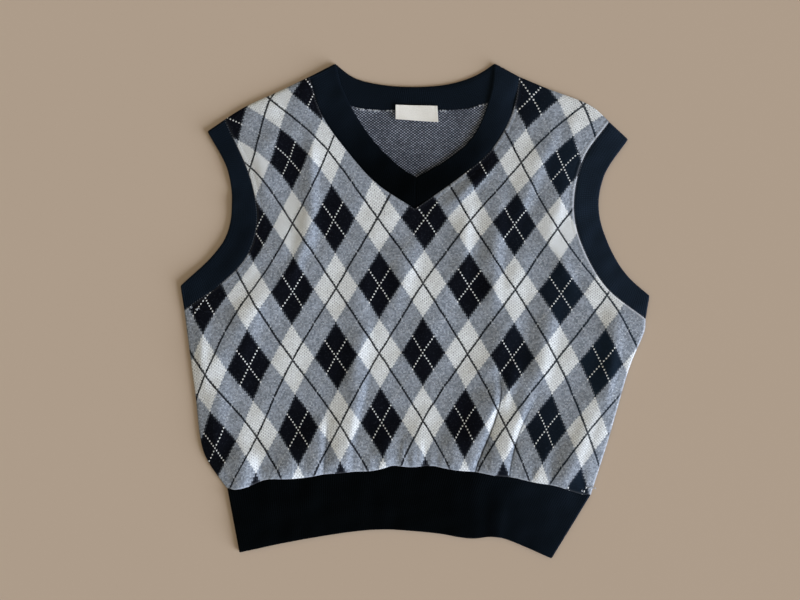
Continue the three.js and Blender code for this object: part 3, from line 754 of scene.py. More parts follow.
def ring(layers):
    """All stations of a ring: each layer, and the turn after it where the face changes over."""
    parts, ribs = [], 0.0
    for index, here in enumerate(layers):
        following = layers[(index + 1) % len(layers)]
        here = dict(here, ribs=here["ribs"] + ribs)
        turned = here["angle"][0] != following["angle"][0]
        parts.append(here if turned else {key: value[:-1] for key, value in here.items()})
        ribs = here["ribs"][-1]
        if turned:
            parts.append(turn(here, following))
            ribs += TURN_RIBS
    whole = {key: np.concatenate([part[key] for part in parts]) for key in parts[0]}
    return {key: np.concatenate([value, value[:1]]) for key, value in whole.items()}, ribs


# %% Join a band's grid into a ring
def ring_object(name, points, knit):
    """An object from a grid that is joined to itself both ways."""
    cloth = bmesh.new()
    knit_map = cloth.loops.layers.uv.new("knit")
    place = square_grid(cloth, points)
    for face in cloth.faces:
        for corner in face.loops:
            corner[knit_map].uv = knit[place[corner.vert]]
    for vert, index in place.items():
        vert.co = points[index] * MM
    bmesh.ops.remove_doubles(cloth, verts=cloth.verts, dist=1e-6)
    bmesh.ops.recalc_face_normals(cloth, faces=cloth.faces)
    open_edges = sum(not edge.is_manifold for edge in cloth.edges)
    mesh = mesh_from(cloth, name)
    mesh.shade_smooth()
    mesh.set_sharp_from_angle(angle=math.radians(75))
    print(f"{name}: {2 * len(mesh.polygons)} triangles, {open_edges} open edges")
    return new_object(name, mesh)


# %% Wrap a band's wall round its stations
RIB_DEPTH, RIB_COURSE = 0.42, 2.3
EDGE_ROUND, EDGE_DROP = 1.8, 1.0
SEAM_SINK, SEAM_WIDTH = 0.7, 2.0
MITRE_DEPTH, MITRE_WIDTH = 0.45, 0.8
NEAR_SEAM, NEAR_EDGE = np.array([0, 0.7, 1.6, 3.0]), np.array([3.4, 1.8, 1.1, 0.5, 0.15, 0])
INNER_GAP, FREE_EDGE_GAP = 0.2, 0.4
BAND_UNEVENNESS = 1.3
band_mid = band_top / 2


def section(depth):
    """Places round the wall's section: outwards along the outer face, and back along the inner."""
    near_seam, near_edge = NEAR_SEAM / depth, 1 - NEAR_EDGE / depth
    between = np.linspace(near_seam[-1], near_edge[0], max(round(depth / 3.5), 4) + 1)[1:-1]
    outward = np.concatenate([near_seam, between, near_edge])
    back = np.concatenate([[1, 1 - 0.5 / depth], between[::-2], [0]])
    across = np.concatenate([outward, back, [0]])
    is_outer = np.arange(len(across)) < len(outward)
    is_outer[-1] = True  # the last place is the first one again, so that the ring closes
    return across, is_outer


def ribbed_band(name, layers, arch=0.0, creases=(), mitre=None):
    """A closed, flattened tube of ribbing."""
    stations, rib_total = ring(layers)
    depth = np.hypot(*(stations["edge"] - stations["seam"]).T).mean()
    across, is_outer = section(depth)
    w = across[None, :, None]
    plan = stations["seam"][:, None] * (1 - w) + stations["edge"][:, None] * w
    way = stations["seam_way"][:, None] * (1 - w) + stations["edge_way"][:, None] * w
    x, y = plan[..., 0], plan[..., 1]
    on_front = (np.sin(stations["angle"]) > 0.99)[:, None]
    from_edge, from_seam = (1 - across) * depth, across * depth
    drop = EDGE_DROP * (1 - np.sqrt(1 - np.clip(1 - from_edge / EDGE_ROUND, 0, 1) ** 2))
    sink = SEAM_SINK * np.exp(-from_seam / SEAM_WIDTH)
    furrow = RIB_DEPTH * np.sin(math.pi * stations["ribs"]) ** 2
    outer = band_mid - drop - sink * on_front - (furrow * stations["outer_ribs"])[:, None]
    outer = outer + on_front * (arch * np.sin(math.pi * across) + BAND_UNEVENNESS * unevenness(x, y))
    for crease in creases:
        outer = outer + on_front * crease_height(crease, x, y)
    if mitre is not None:
        outer = outer - on_front * MITRE_DEPTH * bell(distance_to(mitre, x, y), 0, MITRE_WIDTH)
    inner = INNER_GAP + (furrow * stations["inner_ribs"])[:, None] + FREE_EDGE_GAP * (from_edge < 0.1)
    radius = np.where(is_outer, outer, inner)
    angle = stations["angle"][:, None]
    plan = plan + way * (radius * np.cos(angle))[..., None]
    points = np.dstack([plan, band_mid + radius * np.sin(angle)])
    courses = np.cumsum(np.abs(np.diff(across, prepend=0))) * depth / RIB_COURSE
    ribs = np.concatenate([stations["ribs"][:-1], [rib_total]])
    knit = np.dstack(np.broadcast_arrays(ribs[:, None], courses[None, :]))
    return ring_object(name, points, knit)


# %% Make the arm bands and the hem band
FRONT_RIM = (band_top - 0.55, band_top + 0.1)  # heights between which the bands' upper rims lie
HEM_ARCH = 0.6
HEM_CREASES = [
    # the same measures as in the front's creases
    (80, -236, 90, -186, 0.9, 7, 0.3),
    (66, -236, 74, -190, -0.5, 6, 0),
    (-118, -240, -110, -176, 0.5, 12, 0),
    (140, -250, 150, -186, 0.5, 10, 0),
]


def flat_ring(name, node, seam_line, spacing, **extras):
    """A band whose back layer lies right under its front layer."""
    seam, edge = (trimmed(smooth_run(line, spacing), TURN_LEAD) for line in (
        band_lines(node, seam_line, *FRONT_RIM)
    ))
    front = layer(seam, edge, FRONT_FACE, outer_ribs=1.0)
    back = layer(seam[::-1], edge[::-1], BACK_FACE)
    return ribbed_band(name, [front, back], **extras)


arm_rib_left = flat_ring("arm_rib_left", "arm_band_left", arm_left, 10)
arm_rib_right = flat_ring("arm_rib_right", "arm_band_right", arm_right, 10)
hem_rib = flat_ring("hem_rib", "hem_band", hem, 8, arch=HEM_ARCH, creases=HEM_CREASES)


# %% [markdown]
# ## The neck band
#
# The neck band turns over at each shoulder corner: along the V it lies on the front, and across
# the back of the neck its inside shows. At the point of the V its two ends are mitred, which
# leaves a fine upright groove.

# %% Make the neck band
def split_at_point(run, point):
    """A run cut in two at its point nearest to the given one."""
    place = int(np.argmin(np.hypot(*(run - point).T)))
    return run[:place + 1], run[place:]


neck_line = np.vstack([neck_left[::-1], neck_right[1:]])
v_seam, v_edge = (trimmed(line, TURN_LEAD) for line in band_lines("neck_band", neck_line, *FRONT_RIM))
v_foot = v_seam[int(np.argmin(v_seam[:, 1]))]
v_head = v_edge[int(np.argmin(v_edge[:, 1]))]
legs = [
    [smooth_run(part) for part in split_at_point(line, point)]
    for line, point in ((v_seam, v_foot), (v_edge, v_head))
]
back_rim = (band_mid - INNER_GAP - 0.55, band_mid - INNER_GAP + 0.07)
collar_seam, collar_edge = band_lines("neck_band", back_collar, *back_rim)
neck_layers = [
    layer(legs[0][0], legs[1][0], FRONT_FACE, outer_ribs=1.0),
    layer(legs[0][1], legs[1][1], FRONT_FACE, outer_ribs=1.0),
    layer(smooth_run(collar_seam)[::-1], smooth_run(collar_edge)[::-1], BACK_FACE, inner_ribs=1.0),
]
neck_rib = ribbed_band("neck_rib", neck_layers, mitre=np.array([v_foot, v_head]))


# %% [markdown]
# ## The neck label
#
# A small woven tab is sewn over the back neck seam. It is left plain. Its ends are turned under
# and it has relaxed into a slight ripple.

# %% Make the label and the thread that holds it
LABEL_SIZE = (42, 15)
LABEL_WALL, LABEL_RIPPLE, LABEL_LIFT, LABEL_CURL = 0.5, 0.35, 1.0, 0.5
TURNED_END, TURNED_HEIGHT = 0.045, 0.25
label_points = np.array([v.co[:2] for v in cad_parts["neck_label"].data.vertices]) / MM
low_left, top_left_corner, top_right_corner, low_right = [
    label_points[np.argmax(label_points @ direction)] for direction in ((-1, -1), (-1, 1), (1, 1), (1, -1))
]
label_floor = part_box("neck_label")[0].z / MM


def on_label(s, t):
    """A point of the label from its shares across and up."""
    low = low_left + (low_right - low_left) * s[..., None]
    high = top_left_corner + (top_right_corner - top_left_corner) * s[..., None]
    plan = low + (high - low) * t[..., None]
    ripple = LABEL_RIPPLE * (1 + np.sin(7.5 * s + 1.6 * t))
    curl = LABEL_CURL * bell(t, 0, 0.12) * (0.5 + 0.5 * np.sin(5 * s + 2))
    return plan, label_floor + ripple + LABEL_LIFT + curl


def label_form(x, y, is_upper):
    """The flat sheet holds shares instead of places, in mm."""
    plan, height = on_label(x, y)
    turned_end = TURNED_HEIGHT * (np.minimum(x, 1 - x) < TURNED_END)
    z = np.where(is_upper, height + turned_end, height - LABEL_WALL)
    return np.column_stack([plan, z]), {}


def label_weave(x, y):
    return np.column_stack([x * LABEL_SIZE[0], y * LABEL_SIZE[1]])


shares = np.meshgrid(np.linspace(0, 1, 57), np.linspace(0, 1, 21), indexing="ij")
label_sheet = bmesh.new()
add_grid(label_sheet, np.dstack(shares))
label_cloth = thick_cloth("label_cloth", label_sheet, label_form, label_weave)


# %% [markdown]
# ## Linking stitches and loose yarn
#
# The bands are linked on stitch by stitch, which leaves a chain of small dark slanted stitches
# beside each seam. A bump would be too flat for them, so they are tiny beads of yarn with a few
# faces each, joined into one mesh. Where ends of yarn were left, at the underarm and the hem
# corner, curly loops stick out, and below the back neck seam the raw edge is frayed. Both are
# thin tubes along smooth curves.

# %% Sew the linking stitches
STITCH_SPACING, STITCH_INSET = 2.6, 0.6
STITCH_LENGTH, STITCH_WIDTH, STITCH_HEIGHT, STITCH_SLANT = 1.4, 0.6, 0.52, 0.35


def front_points(x, y):
    """Points on the front's face above the given places."""
    return front_form(np.asarray(x), np.asarray(y), np.full(np.shape(x), True))[0]


def seam_places(run, inset, spacing):
    """Places along a seam, moved `inset` mm to its left, and the seam's direction at each."""
    count = round(run_length(run) / spacing)
    shares = (np.arange(count) + 0.5) / count
    here = resample(run, shares)
    ahead = resample(run, np.minimum(shares + 0.004, 1)) - resample(run, np.maximum(shares - 0.004, 0))
    ahead /= np.hypot(*ahead.T)[:, None]
    left = np.column_stack([-ahead[:, 1], ahead[:, 0]])
    return here + left * inset, np.arctan2(ahead[:, 1], ahead[:, 0])


def sew(cloth, run, inset):
    """Adds a chain of slanted stitches along a seam."""
    places, angles = seam_places(run, inset, STITCH_SPACING)
    heights = front_points(*places.T)[:, 2]
    random = np.random.default_rng(3)
    for (x, y), z, angle in zip(places, heights, angles):
        slant = angle + STITCH_SLANT + random.uniform(-0.12, 0.12)
        length = STITCH_LENGTH * random.uniform(0.85, 1.1)
        bead = Matrix.Translation(Vector((x, y, z + 0.05)) * MM) @ Matrix.Rotation(slant, 4, "Z")
        bead = bead @ Matrix.Diagonal((*(Vector((length, STITCH_WIDTH, STITCH_HEIGHT)) * MM / 2), 1))
        bmesh.ops.create_uvsphere(cloth, u_segments=6, v_segments=4, radius=1, matrix=bead)


stitches = bmesh.new()
for run, inset in (
    (arm_left, STITCH_INSET), (arm_right, -STITCH_INSET),
    (neck_left, STITCH_INSET), (neck_right, -STITCH_INSET),
):
    sew(stitches, run, inset)
stitch_mesh = mesh_from(stitches, "linking_stitches")
stitch_mesh.shade_smooth()
linking_stitches = new_object("linking_stitches", stitch_mesh)
print(f"linking stitches: {len(stitch_mesh.polygons)} faces")


# %% Leave a few loops of yarn
LOOSE_ENDS = [
    # x, y of the middle, how many loops, and how far they reach (mm)
    (-217, 1, 2, 3.5), (-224, 5, 2, 3), (167, -179, 2, 2.4), (178, -176, 7, 2.4), (-186, -174, 1, 3),
]
UNDER_LABEL = 24
YARN_RADIUS, LABEL_THREAD_RADIUS = 0.22, 0.13


def yarn_loops():
    """Curly ends of yarn, laid on the front, as the points of smooth curves."""
    random = np.random.default_rng(21)
    for x, y, count, reach in LOOSE_ENDS:
        for _ in range(count):
            turn_angle, start = random.uniform(1.5, 4.5), random.uniform(0, 2 * math.pi)
            grow = np.linspace(0, 1, 9)
            angle = start + turn_angle * grow
            radius = reach * random.uniform(0.2, 0.38)
            px = x + random.uniform(-2, 2) + radius * np.cos(angle) + grow * random.uniform(-3, 3)
            py = y + random.uniform(-1.5, 1.5) + radius * np.sin(angle) * 0.7
            height = front_points(px, py)[:, 2] + 0.3 + 0.9 * np.sin(math.pi * grow)
            yield np.column_stack([px, py, height])


def frayed_seam():
    """Small loops that peep out below the back neck seam, thicker in some places than others."""
    random = np.random.default_rng(8)
    for share in random.uniform(0.05, 0.95, 130):
        x, y = resample(back_collar, np.array([share]))[0]
        if abs(x) < UNDER_LABEL or random.uniform() > 0.35 + 0.6 * math.sin(x / 9):
            continue
        reach = random.uniform(0.6, 3.2)
        px = x + random.uniform(-1.4, 1.4, 5)
        py = y + 0.4 - reach * np.array([0, 0.6, 1.0, 0.7, 0.1])
        height = back_form(px, py, np.full(5, True))[0][:, 2] + np.array([0.1, 0.5, 0.6, 0.5, 0.1])
        yield np.column_stack([px, py, height])


def yarn_object(name, strands, radius):
    """Tubes of yarn along smooth curves, turned into one mesh."""
    curve = bpy.data.curves.new(name, "CURVE")
    curve.dimensions = "3D"
    curve.bevel_depth, curve.bevel_resolution, curve.resolution_u = radius * MM, 1, 3
    curve.use_fill_caps = True
    for points in strands:
        strand = curve.splines.new("NURBS")
        strand.points.add(len(points) - 1)
        strand.use_endpoint_u = True
        for point, place in zip(strand.points, points):
            point.co = (*(place * MM), 1)
    drawn = bpy.data.objects.new(name + "_curve", curve)
    mesh = bpy.data.meshes.new_from_object(drawn)
    mesh.name = name
    bpy.data.objects.remove(drawn)
    bpy.data.curves.remove(curve)
    mesh.shade_smooth()
    return new_object(name, mesh)


loose_yarn = yarn_object("loose_yarn", [*yarn_loops(), *frayed_seam()], YARN_RADIUS)
print(f"loose yarn: {len(loose_yarn.data.polygons)} faces")


# %% Sew the label's ends down
def label_threads():
    """Short upright stitches down each end of the label."""
    for s in (0.025, 0.975):
        for t in np.linspace(0.08, 0.92, 7):
            ends = np.array([[s, t - 0.045], [s, t], [s, t + 0.045]])
            plan, height = on_label(ends[:, 0], ends[:, 1])
            yield np.column_stack([plan, height + np.array([0.15, 0.4, 0.15])])


label_stitches = yarn_object("label_stitches", [*label_threads()], LABEL_THREAD_RADIUS)
print(f"label stitches: {len(label_stitches.data.polygons)} faces")


# %% [markdown]
# ## Wiring finishes
#
# A finish here is a handful of sums on the place of each stitch. A few short helpers keep those
# sums readable: one adds any node and feeds it, and the others do a line of arithmetic, mix two
# colours or step smoothly from one value to another. Dyes are given as they look on a screen and
# turned into the linear light that a renderer works in.

# %% Helpers for nodes and dyes
def node(tree, kind, inputs=None, **settings):
    """Adds a node, sets its fields and feeds its inputs from sockets or plain values."""
    made = tree.nodes.new("ShaderNode" + kind)
    for field, value in settings.items():
        setattr(made, field, value)
    for key, value in (inputs or {}).items():
        if isinstance(value, bpy.types.NodeSocket):
            tree.links.new(value, made.inputs[key])
        else:
            made.inputs[key].default_value = value
    return made


def calc(tree, operation, *values):
    return node(tree, "Math", dict(enumerate(values)), operation=operation).outputs[0]


def product(tree, first, *others):
    for other in others:
        first = calc(tree, "MULTIPLY", first, other)
    return first


def raised(tree, value, scale, start):
    """A value times `scale`, plus `start`."""
    return calc(tree, "MULTIPLY_ADD", value, scale, start)


def shaded(tree, colour, share):
    """A colour made darker or brighter by a share that varies over the surface."""
    return node(tree, "VectorMath", {0: colour, 3: share}, operation="SCALE").outputs[0]


def place_of(tree):
    """The place on the piece in metres, and its x and y."""
    body = node(tree, "TexCoord").outputs["Object"]
    return body, *node(tree, "SeparateXYZ", {0: body}).outputs[:2]


def mixed(tree, share, first, second):
    """A colour between two colours or colour sockets."""
    inputs = {0: share, 6: first, 7: second}
    return node(tree, "Mix", inputs, data_type="RGBA", clamp_factor=True).outputs[2]


def ramp(tree, value, low, high, low_out=0.0, high_out=1.0):
    """A smooth step of a value between two bounds."""
    inputs = {0: value, 1: low, 2: high, 3: low_out, 4: high_out}
    return node(tree, "MapRange", inputs, interpolation_type="SMOOTHSTEP").outputs[0]


def dye(red, green, blue):
    """A screen colour, 0 to 255, as linear light."""
    def linear(value):
        value /= 255
        return value / 12.92 if value <= 0.04045 else ((value + 0.055) / 1.055) ** 2.4
    return (linear(red), linear(green), linear(blue), 1.0)


NO_TINT, COOL_TINT, COLD_TINT = (1, 1, 1, 1), (0.8, 0.88, 1.0, 1), (0.62, 0.78, 1.0, 1)


def new_finish(name, roughness, sheen, sheen_tint, specular=0.03):
    """A material with its Principled BSDF, whose even values sit on its own sockets."""
    material = bpy.data.materials.new(name)
    material.use_nodes = True
    skin = material.node_tree.nodes["Principled BSDF"]
    skin.inputs["Roughness"].default_value = roughness
    skin.inputs["Specular IOR Level"].default_value = specular
    skin.inputs["Sheen Weight"].default_value = sheen
    skin.inputs["Sheen Roughness"].default_value = 0.4
    skin.inputs["Sheen Tint"].default_value = sheen_tint
    return material, material.node_tree, skin


def finish_with(tree, skin, colour, height, strength, distance):
    """Feeds a finish its colour and its raised detail, `distance` mm high."""
    bump = node(tree, "Bump", {"Strength": strength, "Distance": distance * MM, "Height": height})
    tree.links.new(colour, skin.inputs["Base Color"])
    tree.links.new(bump.outputs[0], skin.inputs["Normal"])


print("a middle grey on a screen is", round(dye(128, 128, 128)[0], 3), "in linear light")


# %% [markdown]
# ## Stitches and fibres
#
# Seen close, a knit face is a stack of small Vs: each stitch has two legs that lean apart from
# its foot. Every yarn in the vest needs them, and every yarn is also hairy, so both effects are
# node groups, built once. They take a place in the knitting and give back numbers only.

# %% Build the two node groups
def new_group(name, inputs, outputs):
    group = bpy.data.node_groups.new(name, "ShaderNodeTree")
    for label, kind in inputs.items():
        group.interface.new_socket(name=label, in_out="INPUT", socket_type="NodeSocket" + kind)
    for label, kind in outputs.items():
        group.interface.new_socket(name=label, in_out="OUTPUT", socket_type="NodeSocket" + kind)
    return group, group.nodes.new("NodeGroupInput").outputs, group.nodes.new("NodeGroupOutput").inputs


def knit_stitch_group():
    """From a place in stitches: which stitch it is, where in it, how high, and a random number."""
    group, given, result = new_group(
        "Knit stitches", {"Stitches": "Vector", "Lean": "Float"},
        {"Height": "Float", "Stitch": "Vector", "Side": "Float", "Random": "Float"},
    )
    x, y = node(group, "SeparateXYZ", {0: given["Stitches"]}).outputs[:2]
    wale = calc(group, "FLOOR", x)
    side = calc(group, "ABSOLUTE", raised(group, calc(group, "SUBTRACT", x, wale), 2.0, -1.0))
    leaning = calc(group, "SUBTRACT", y, product(group, side, given["Lean"]))
    course = calc(group, "FLOOR", leaning)
    along = calc(group, "SUBTRACT", leaning, course)
    strand = calc(group, "PINGPONG", product(group, along, 2.0), 1.0)
    strand = calc(group, "SINE", product(group, strand, math.pi / 2))
    leg = calc(group, "PINGPONG", product(group, side, 2.0), 1.0)
    leg = raised(group, calc(group, "SQRT", leg), 0.75, 0.25)
    stitch = node(group, "CombineXYZ", {0: wale, 1: course}).outputs[0]
    random = node(group, "TexWhiteNoise", {"Vector": stitch}, noise_dimensions="2D")
    group.links.new(product(group, strand, leg), result["Height"])
    group.links.new(stitch, result["Stitch"])
    group.links.new(side, result["Side"])
    group.links.new(random.outputs["Value"], result["Random"])
    return group


def wool_fibre_group():
    """Fine hairs, and the few pale flecks that stand out of them."""
    group, given, result = new_group(
        "Wool fibres", {"Vector": "Vector", "Fineness": "Float"}, {"Fibres": "Float", "Flecks": "Float"},
    )
    inputs = {"Vector": given["Vector"], "Scale": given["Fineness"], "Detail": 4.0, "Roughness": 0.65}
    hairs = node(group, "TexNoise", dict(inputs, Distortion=1.2)).outputs[0]
    coarser = product(group, given["Fineness"], 0.45)
    tufts = node(group, "TexNoise", dict(inputs, Scale=coarser, Detail=2.0)).outputs[0]
    group.links.new(hairs, result["Fibres"])
    group.links.new(ramp(group, tufts, 0.56, 0.72), result["Flecks"])
    return group


STITCHES, FIBRES = knit_stitch_group(), wool_fibre_group()
print("groups:", STITCHES.name, "and", FIBRES.name)


# %% Use the groups on a piece

def use_group(tree, group, inputs):
    """Places a node group and gives its outputs."""
    made = tree.nodes.new("ShaderNodeGroup")
    made.node_tree = group
    for key, value in inputs.items():
        if isinstance(value, bpy.types.NodeSocket):
            tree.links.new(value, made.inputs[key])
        else:
            made.inputs[key].default_value = value
    return made.outputs


def cloud(tree, body, scale, detail=2.0):
    """Soft patches, or their three colours as three numbers."""
    return node(tree, "TexNoise", {"Vector": body, "Scale": scale, "Detail": detail}).outputs


def vector_sum(tree, first, scale, start):
    inputs = {0: first, 1: scale, 2: start}
    return node(tree, "VectorMath", inputs, operation="MULTIPLY_ADD").outputs[0]


def knit_place(tree, body, across, up, wander):
    """A place counted in stitches, a little unsteady, as hand-fed knitting is."""
    uv = node(tree, "UVMap", uv_map="knit").outputs[0]
    even = vector_sum(tree, uv, (across, up, 0), (0.5, 0.5, 0))
    drift = cloud(tree, body, 70.0, 1.0)["Color"]
    shift = vector_sum(tree, drift, (wander, wander, 0), (-wander / 2, -wander / 2, 0))
    return node(tree, "VectorMath", {0: even, 1: shift}, operation="ADD").outputs[0]


def mark(tree, name):
    """A number that was kept for every point of the cloth."""
    return node(tree, "Attribute", attribute_name=name).outputs["Fac"]


# %% [markdown]
# ## The argyle
#
# Argyle is two sets of wide diagonal stripes. Where they cross the knit is black, where only one
# runs it is heather grey, and elsewhere it is off-white. Thin lines of single stitches run
# between: black ones through the pale cells and white ones through the black diamonds. The design
# moves over one wale every two courses. So a stitch's wale, plus or minus half its course, gives
# its place across each set of stripes, and the rest is comparing whole numbers. Every colour
# change then falls between two stitches, as it does in yarn. The black lines are drawn straight
# as well, because stitches that touch only at their corners pull together into one line.

# %% Find each stitch's place in the design
HALF_REPEAT = REPEAT_WALES / 2
STRIPE_HALF, LINE_AT, FINE_LINE_AT = HALF_REPEAT / 2, HALF_REPEAT - 0.5, HALF_REPEAT - 0.6


def argyle_design(tree, place, knit):
    """Masks for the stripes, lines and dots, and how far out from a stripe's middle a stitch is."""
    wale, course = node(tree, "SeparateXYZ", {0: knit["Stitch"]}).outputs[:2]
    x, y = node(tree, "SeparateXYZ", {0: place}).outputs[:2]
    pair = calc(tree, "FLOOR", product(tree, course, 0.5))
    half_y = product(tree, y, 0.5)

    def from_middle(count):
        return calc(tree, "ABSOLUTE", calc(tree, "WRAP", count, HALF_REPEAT, -HALF_REPEAT))

    def black_line(offset, here, other):
        line = calc(tree, "GREATER_THAN", from_middle(offset), FINE_LINE_AT)
        line = calc(tree, "MAXIMUM", line, calc(tree, "GREATER_THAN", here, LINE_AT))
        return product(tree, line, calc(tree, "GREATER_THAN", other, 0.6))

    rising = from_middle(calc(tree, "SUBTRACT", wale, pair))
    falling = from_middle(calc(tree, "ADD", wale, pair))
    on_rising = calc(tree, "LESS_THAN", rising, STRIPE_HALF)
    on_falling = calc(tree, "LESS_THAN", falling, STRIPE_HALF)
    line = black_line(calc(tree, "SUBTRACT", x, half_y), rising, falling)
    other_line = black_line(calc(tree, "ADD", calc(tree, "ADD", x, half_y), -1.0), falling, rising)
    line = product(tree, calc(tree, "MAXIMUM", line, other_line), raised(tree, knit["Random"], 0.14, 0.86))
    dots = calc(tree, "MAXIMUM", calc(tree, "LESS_THAN", rising, 0.5), calc(tree, "LESS_THAN", falling, 0.5))
    first_of_pair = calc(tree, "LESS_THAN", calc(tree, "FLOORED_MODULO", course, 2.0), 0.5)
    staggered = calc(tree, "FLOORED_MODULO", calc(tree, "ADD", course, wale), 2.0)
    speck = product(tree, calc(tree, "LESS_THAN", staggered, 0.5), raised(tree, knit["Random"], 0.7, 0.2))
    return {
        "black": product(tree, on_rising, on_falling),
        "grey": calc(tree, "MAXIMUM", on_rising, on_falling),
        "line": line,
        "dots": product(tree, dots, first_of_pair, ramp(tree, knit["Side"], 0.85, 0.55)),
        "speck": product(tree, speck, ramp(tree, knit["Side"], 0.75, 0.25)),
        "out": calc(tree, "MAXIMUM", rising, falling),
    }


# %% Spin the argyle's yarns
def argyle_yarns(tree, design, knit, wool, to_right):
    """The colour of every stitch. Towards the right the black is painted a little paler and bluer, as
    painted light from the window.
    """
    melange = raised(tree, knit["Random"], 0.5, 0.16)
    melange = calc(tree, "ADD", melange, raised(tree, wool["Fibres"], 0.6, -0.3))
    heather = mixed(tree, melange, dye(84, 90, 97), dye(162, 170, 179))
    heather = mixed(tree, product(tree, wool["Flecks"], 0.5), heather, dye(208, 212, 216))
    spun = raised(tree, knit["Random"], 0.5, product(tree, wool["Fibres"], 0.6))
    cream = mixed(tree, spun, dye(176, 178, 177), dye(226, 230, 229))
    cream = mixed(tree, design["speck"], cream, dye(100, 103, 104))
    ink = mixed(tree, wool["Fibres"], dye(2, 3, 6), dye(15, 17, 24))
    ink = mixed(tree, product(tree, wool["Flecks"], 0.15), ink, dye(80, 86, 98))
    # painted light: towards the right the black is made paler and bluer, where the window light falls
    ink = mixed(tree, product(tree, ramp(tree, to_right, 0.06, 0.2), 0.5), ink, dye(24, 38, 50))
    edge = ramp(tree, design["out"], STRIPE_HALF - 1.5, STRIPE_HALF + 0.1)
    edge = product(tree, edge, raised(tree, knit["Random"], 0.5, 0.1))
    fuzzy_ink = mixed(tree, edge, ink, dye(86, 92, 100))
    white = mixed(tree, wool["Fibres"], dye(196, 200, 200), dye(238, 240, 238))
    colour = mixed(tree, design["grey"], cream, heather)
    colour = mixed(tree, design["black"], colour, fuzzy_ink)
    colour = mixed(tree, design["line"], colour, ink)
    faint = product(tree, raised(tree, design["black"], 0.65, 0.25), design["dots"], design["grey"])
    return mixed(tree, faint, colour, white)


# %% Fray the edges, paint a highlight down the right side, and paint shade into the nicks
def fluff_and_painted_highlight(tree, design, wool, to_right):
    """How much pale colour covers the yarn: fluff at the hem and the right armhole, with a painted highlight
    on the hem's rolled rim, and a painted highlight down the right side, which faces the window.
    """
    pale_here = raised(tree, design["black"], -0.8, 1.0)
    # pale fluff along the hem, partly a painted highlight on its rolled rim
    at_hem = product(tree, ramp(tree, mark(tree, "hem"), 3.6, 0.6), pale_here, 0.6)
    # painted highlight down the right side, where it faces the window
    painted_highlight_at_side = product(tree, ramp(tree, mark(tree, "side"), 2.6, 0.6), 0.5)
    at_seam = product(tree, ramp(tree, mark(tree, "seam"), 2.4, 0.8),
                      ramp(tree, to_right, 0.08, 0.17, 0.12, 0.7), pale_here)
    most = calc(tree, "MAXIMUM", calc(tree, "MAXIMUM", at_hem, painted_highlight_at_side), at_seam)
    return product(tree, most, raised(tree, wool["Flecks"], 0.6, 0.6))


def painted_stitch_and_nick_shade(tree, knit):
    """Painted shade, as a share of the colour: darker between the stitches, and darkest in the folds' nicks.
    """
    light = raised(tree, knit["Height"], 0.3, 0.8)
    for number, (_, _, _, nick, _) in enumerate(FOLDS):
        past = calc(tree, "ABSOLUTE", mark(tree, f"nick {number}"))
        light = product(tree, light, ramp(tree, past, 0.2, 1.4, 1 - nick / 2, 1.0))
    return light


# %% Knit the argyle
def argyle_knit():
    material, tree, skin = new_finish("Argyle wool knit", 0.95, 0.03, COOL_TINT)
    body, to_right, _ = place_of(tree)
    place = knit_place(tree, body, REPEAT_WALES, REPEAT_COURSES, 0.9)
    knit = use_group(tree, STITCHES, {"Stitches": place, "Lean": 0.6})
    wool = use_group(tree, FIBRES, {"Vector": body, "Fineness": 1500.0})
    design = argyle_design(tree, place, knit)
    colour = argyle_yarns(tree, design, knit, wool, to_right)
    colour = mixed(tree, fluff_and_painted_highlight(tree, design, wool, to_right), colour, dye(206, 210, 216))
    height = raised(tree, wool["Fibres"], 0.5, knit["Height"])
    # the colour carries painted shade between the stitches and in the folds' nicks
    finish_with(tree, skin, shaded(tree, colour, painted_stitch_and_nick_shade(tree, knit)), height, 0.6, 0.4)
    return material


argyle = argyle_knit()
print(f"{argyle.name}: {len(argyle.node_tree.nodes)} nodes")


# %% [markdown]
# ## The wrong side
#
# Inside, a jacquard shows birdseye: the yarns take turns, so pale and dark loops alternate like a
# chequerboard of short dashes. Each loop is a purl bump, wider than it is high. Shade is painted into the
# colour towards the point of the V, where the cloth slumps away from the light, and soft patches keep it
# from looking printed.

# %% Knit the inside
def birdseye_knit():
    material, tree, skin = new_finish("Birdseye inside", 0.95, 0.03, COOL_TINT)
    body, _, height_up = place_of(tree)
    place = knit_place(tree, body, REPEAT_WALES, REPEAT_COURSES, 0.6)
    loops = use_group(tree, STITCHES, {"Stitches": place, "Lean": 0.12})
    wool = use_group(tree, FIBRES, {"Vector": body, "Fineness": 1500.0})
    wale, course = node(tree, "SeparateXYZ", {0: loops["Stitch"]}).outputs[:2]
    turn_about = calc(tree, "FLOORED_MODULO", calc(tree, "ADD", wale, course), 2.0)
    pale = product(tree, turn_about, ramp(tree, loops["Side"], 1.0, 0.55),
                   ramp(tree, loops["Height"], 0.1, 0.5), raised(tree, loops["Random"], 0.75, 0.42))
    dark_yarn = mixed(tree, wool["Fibres"], dye(20, 24, 32), dye(52, 58, 68))
    pale_yarn = mixed(tree, wool["Fibres"], dye(110, 115, 126), dye(178, 184, 195))
    # painted shade: darker towards the point of the V, then soft patches
    painted_shade_and_patches = ramp(tree, height_up, 0.13, 0.19, 0.68, 1.0)
    painted_shade_and_patches = product(tree, painted_shade_and_patches, ramp(tree, cloud(tree, body, 38.0)[0], 0.3, 0.7, 0.82, 1.16))
    colour = shaded(tree, mixed(tree, pale, dark_yarn, pale_yarn), painted_shade_and_patches)
    height = raised(tree, wool["Fibres"], 0.4, loops["Height"])
    finish_with(tree, skin, colour, height, 0.7, 0.5)
    return material


birdseye = birdseye_knit()
print(f"{birdseye.name}: {len(birdseye.node_tree.nodes)} nodes")
